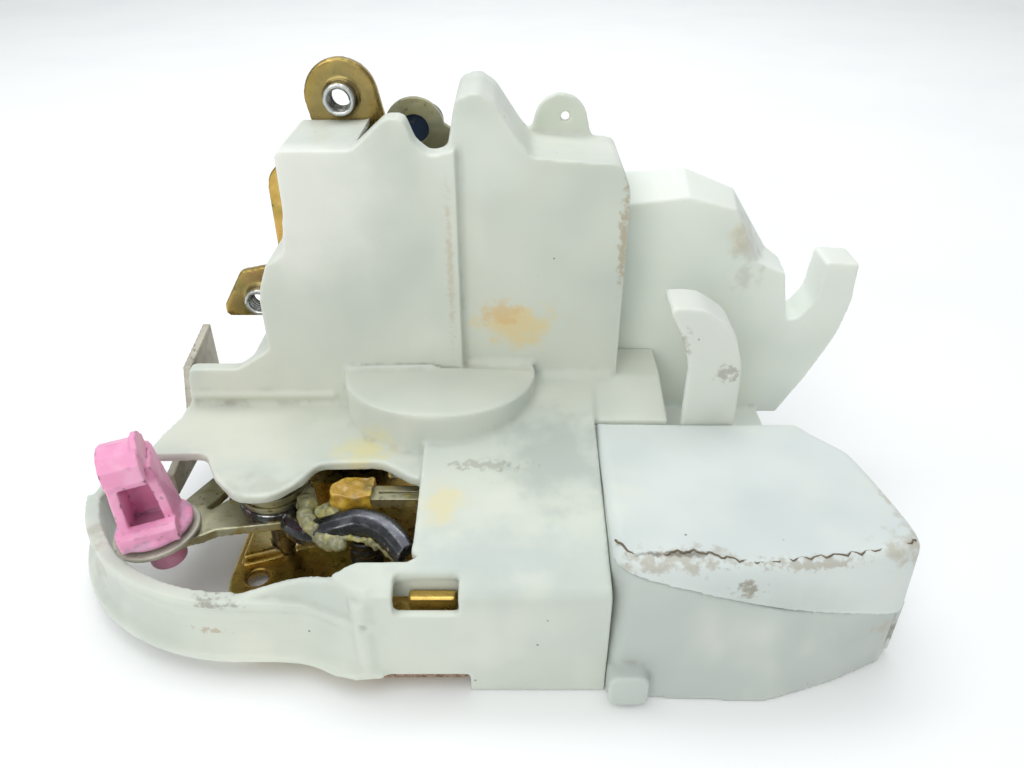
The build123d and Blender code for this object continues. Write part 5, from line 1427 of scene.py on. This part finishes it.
# ---------------------------------------------------------------- studio
@dataclass
class Studio:
    """Pale floor, soft light and the camera.

    Attributes:
        camera_place: Camera on the drawing, in millimetres.
        pitch: Degrees that the camera looks down.
        lens: Focal length in millimetres on a 36 mm sensor.
        floor_gap: Metres by which the floor lies under the part.
    """

    camera_place: Point = (0.0, -103.7, 142.0)
    pitch: float = 33.0
    lens: float = 28.23
    floor_gap: float = 0.0002

    def floor(self) -> None:
        """Lays the floor, which curves up into a backdrop."""
        line = [(-3.0, 0.0), (0.9, 0.0), (1.25, 0.05), (1.5, 0.25), (1.6, 0.6), (1.6, 2.4)]
        bm = ring_stack([[Vector((x, y, z - self.floor_gap)) for y, z in line] for x in (-3.0, 3.0)], closed=False)
        mesh = bpy.data.meshes.new("studio_floor")
        bm.to_mesh(mesh)
        bm.free()
        mesh.polygons.foreach_set("use_smooth", [True] * len(mesh.polygons))
        c = Canvas("matt_paper", "#FCFDFD")
        c.blotch("#F6F8F9", 90.0, 2.0, 0.4, 0.7, 0.5)
        mesh.materials.append(c.finish(Roughness=0.7))
        floor = bpy.data.objects.new("studio_floor", mesh)
        bpy.context.scene.collection.objects.link(floor)

    def light(self, name: str, place: Point, aim: Point, size: float, watts: float, colour: str) -> None:
        """Hangs one soft box.

        Args:
            name: Name of the light.
            place: Its place in metres.
            aim: Where it points, in metres.
            size: Side of the box in metres.
            watts: Its power.
            colour: Its sRGB hex colour.
        """
        data = bpy.data.lights.new(name, "AREA")
        data.shape = "SQUARE"
        data.size = size
        data.energy = watts
        data.color = linear(colour)[:3]
        lamp = bpy.data.objects.new(name, data)
        lamp.location = place
        lamp.rotation_euler = (Vector(aim) - Vector(place)).to_track_quat("-Z", "Y").to_euler()
        bpy.context.scene.collection.objects.link(lamp)

    def camera(self) -> None:
        """Sets the camera."""
        data = bpy.data.cameras.new("camera")
        data.lens = self.lens
        data.sensor_width = 36.0
        data.clip_start = 0.01
        camera = bpy.data.objects.new("camera", data)
        camera.location = at(*self.camera_place)
        camera.rotation_euler = (math.radians(90 - self.pitch), 0.0, 0.0)
        bpy.context.scene.collection.objects.link(camera)
        bpy.context.scene.camera = camera

    def build(self) -> None:
        """Sets up floor, lights, surroundings and camera."""
        self.floor()
        self.light("sky_box", (-0.15, -0.05, 0.75), (0.0, 0.02, 0.04), 0.8, 2.7, "#FBFDFF")
        self.light("front_box", (-0.25, -0.7, 0.4), (-0.02, 0.0, 0.06), 0.5, 2.1, "#FFFDF8")
        self.light("back_box", (0.0, 0.5, 1.0), (0.0, 1.2, 0.0), 0.9, 6.0, "#FBFDFF")
        scene = bpy.context.scene
        scene.view_settings.view_transform = "Standard"
        world = bpy.data.worlds.new("white_room")
        world.use_nodes = True
        sky = world.node_tree.nodes["Background"]
        sky.inputs["Color"].default_value = linear("#F8FBFC")
        sky.inputs["Strength"].default_value = 0.41
        scene.world = world
        self.camera()


# ---------------------------------------------------------------- all together
COVER_STAINS_AND_LIGHTING = (
    StainOrLightPatch((-62.0, 50.0, 34.0), (26.0, 30.0, 14.0), "#DEDFD0", 0.6),
    # Painted light: the upper parts of the left and middle panels made paler, as lit from above.
    StainOrLightPatch((-46.0, 58.0, 84.0), (28.0, 9.0, 26.0), "#EDEFE9", 0.7, 0.12),
    StainOrLightPatch((-8.0, 61.0, 92.0), (16.0, 8.0, 14.0), "#E3E8E1", 0.6, 0.12),
    # Painted shade: the deck's right part and its front edge made darker grey.
    StainOrLightPatch((10.0, 34.0, 34.0), (17.0, 19.0, 8.0), "#B5BDB6", 0.75),
    StainOrLightPatch((-4.0, 8.0, 30.0), (26.0, 10.0, 8.0), "#C2CCC8", 0.7),
    StainOrLightPatch((1.0, 61.0, 51.0), (12.0, 6.0, 8.0), "#E2CE97", 0.75, 0.45),
    StainOrLightPatch((-2.0, 61.0, 54.0), (6.0, 6.0, 4.0), "#DDB97C", 0.6, 0.5),
    StainOrLightPatch((-33.0, 40.0, 31.0), (9.0, 8.0, 6.0), "#E3DBA2", 0.7),
    StainOrLightPatch((-15.0, 22.0, 31.0), (6.0, 7.0, 6.0), "#E2D8A8", 0.65),
    StainOrLightPatch((24.6, 62.0, 74.0), (1.6, 6.0, 17.0), "#A89878", 0.65, 0.5),
    # Painted shade: darker band along the step between the left and middle panels.
    StainOrLightPatch((-13.6, 59.5, 66.0), (1.2, 4.0, 26.0), "#C4BBA4", 0.55, 0.4),
    StainOrLightPatch((-52.0, 27.0, 29.0), (12.0, 5.0, 5.0), "#A9A28C", 0.2, 0.7),
    StainOrLightPatch((-6.0, 32.0, 33.0), (9.0, 1.8, 3.0), "#7C7666", 0.35, 0.9),
    StainOrLightPatch((-59.5, 6.0, 18.3), (5.5, 4.0, 1.0), "#7E7767", 0.55, 0.9),
    StainOrLightPatch((-62.5, 5.0, 10.4), (6.0, 4.0, 0.8), "#A98A62", 0.45, 0.8),
    StainOrLightPatch((-92.0, 28.0, 14.0), (6.0, 12.0, 8.0), "#A7A08C", 0.45, 0.8),
)
LID_STAINS_AND_SHADE = (
    # Painted shade: the box's front face made darker grey.
    StainOrLightPatch((48.0, -2.0, 23.0), (60.0, 6.5, 11.0), "#C3CAC4", 0.8, 0.1),
    StainOrLightPatch((30.0, 3.6, 33.0), (14.0, 3.2, 3.0), "#ABA391", 0.6, 0.7),
    StainOrLightPatch((30.0, 4.4, 33.8), (10.0, 1.0, 1.6), "#6A6252", 0.7, 0.6),
    StainOrLightPatch((56.0, 2.8, 33.2), (20.0, 1.6, 1.2), "#ABA391", 0.6, 0.8),
    StainOrLightPatch((74.0, 7.5, 32.0), (7.0, 5.0, 4.0), "#B5AD9A", 0.6, 0.6),
    StainOrLightPatch((44.0, 0.0, 29.0), (3.2, 4.0, 2.2), "#857A63", 0.7, 0.8),
    StainOrLightPatch((77.0, 22.0, 33.0), (2.4, 14.0, 3.0), "#B5AD9A", 0.5, 0.7),
)
CASE_STAINS = (
    StainOrLightPatch((80.5, 10.0, 7.0), (3.0, 4.0, 5.0), "#6B6354", 0.6, 0.8),
    StainOrLightPatch((76.0, 8.0, 14.0), (5.0, 5.0, 8.0), "#B2AA98", 0.5, 0.7),
)
SHIELD_STAINS = (
    StainOrLightPatch((54.0, 74.0, 68.0), (5.0, 5.0, 6.0), "#D4CDB2", 0.5),
    StainOrLightPatch((57.0, 76.0, 66.0), (5.0, 8.0, 12.0), "#9F978A", 0.25, 0.7),
)
HOOD_STAINS = (
    StainOrLightPatch((48.0, 47.0, 47.0), (3.0, 3.0, 2.4), "#8F8876", 0.5, 0.9),
    StainOrLightPatch((37.5, 50.0, 52.0), (2.0, 6.0, 8.0), "#8E8577", 0.5, 0.6),
)
FRAME_SHEARED = (StainOrLightPatch((-17.0, 1.3, 3.1), (10.5, 0.7, 2.0), "#A08570", 1.0),)
FRAME_DRIFTS_AND_HIGHLIGHT = (
    # Painted highlight: pale gold sheen on the top of the leg's pad.
    StainOrLightPatch((-52.0, 38.0, 6.7), (13.0, 7.5, 3.0), "#FFF0BC", 1.0, 0.05),
    StainOrLightPatch((-50.0, 27.0, 3.0), (9.0, 6.0, 3.0), "#9A8A3A", 0.7, 0.3),
    StainOrLightPatch((-60.0, 24.0, 3.0), (6.0, 9.0, 3.0), "#B08A55", 0.7, 0.3),
    StainOrLightPatch((-38.3, 82.0, 98.0), (16.0, 8.0, 16.0), "#8A7E56", 0.85, 0.2),
    StainOrLightPatch((-64.5, 82.0, 48.0), (14.0, 8.0, 14.0), "#8A7E56", 0.85, 0.2),
)
TAPPED_HOLES = ((-38.3, 79.5, 98.0), (-64.5, 79.5, 48.0), (8.0, 79.5, 54.0))


FINISHES = {
    "cover": NaturalPolypropylene("aged_polypropylene", stains_and_lighting=COVER_STAINS_AND_LIGHTING),
    "lid": NaturalPolypropylene("lid_polypropylene", "#DCE2DF", "#CBD4D2", 0.7, stains_and_lighting=LID_STAINS_AND_SHADE),
    "case": NaturalPolypropylene("case_polypropylene", "#C9CFCA", "#B9C1BC", 0.6, stains_and_lighting=CASE_STAINS),
    "dirt": MouldedPlastic("dried_dirt", "#6E6250", "#A89F8C", 0.7),
    "shield": NaturalPolypropylene("shield_polypropylene", "#E6EBE4", "#D6DED7", stains_and_lighting=SHIELD_STAINS),
    "hood": NaturalPolypropylene("hood_polypropylene", "#DDE1DA", "#CDD4CC", stains_and_lighting=HOOD_STAINS),
    "clip": PinkAcetal(),
    "arm": GreasedSpringSteel("worn_dark_steel", "#56575C", "#D2D3D2", "#8E8A55", 0.3, 0.24),
    "greased": ChromatePlatedSteel("greased_olive_plate", Plate.OLIVE, grease=0.5),
    "spring": GreasedSpringSteel("spring_wire", "#6A655C", amount=0.7),
    "steel": GreasedSpringSteel("hardened_steel"),
    "block": AmberGrease(),
    "old_grease": AmberGrease("old_grease", "#8F8E6C", "#B4AC5C", "#6E6F54"),
    "rubber": MouldedPlastic("nitrile_rubber", "#0D0D10", "#1B1B20", 0.3, 1.52, 0.5),
    "zinc": ChromatePlatedSteel("dull_zinc", Plate.GREY),
    "gold": ChromatePlatedSteel("gold_passivated_steel", bright=TAPPED_HOLES, sheared=FRAME_SHEARED,
                                drifts_and_highlight=FRAME_DRIFTS_AND_HIGHLIGHT),
    "olive": ChromatePlatedSteel("olive_passivated_steel", Plate.OLIVE),
    "slate": MouldedPlastic("slate_nylon", "#1F3350", "#2C4263", 0.4),
    "can": ChromatePlatedSteel("motor_can_zinc", Plate.GREY),
    "black": MouldedPlastic("black_nylon", "#191A1C", "#2A2A2C"),
    "brass": CutBrass(),
    "gear": MouldedPlastic("natural_acetal", "#E4E0D2", "#D3CDBA", 0.4),
}


def main() -> None:
    """Builds every sub-assembly in order and reports its pieces."""
    logging.basicConfig(level=logging.INFO, format="%(name)s %(message)s")
    noise.seed_set(GREASE_SEED)
    finish = {name: recipe.build() for name, recipe in FINISHES.items()}
    parts = (CoverMoulding(), ActuatorBox(), HarnessGuide(), RodClip(), ReleaseGear(), SteelFrame(), LockDrive())
    for part in parts:
        part.build(finish)
        part.report()
    Studio().build()


if __name__ == "__main__":
    main()
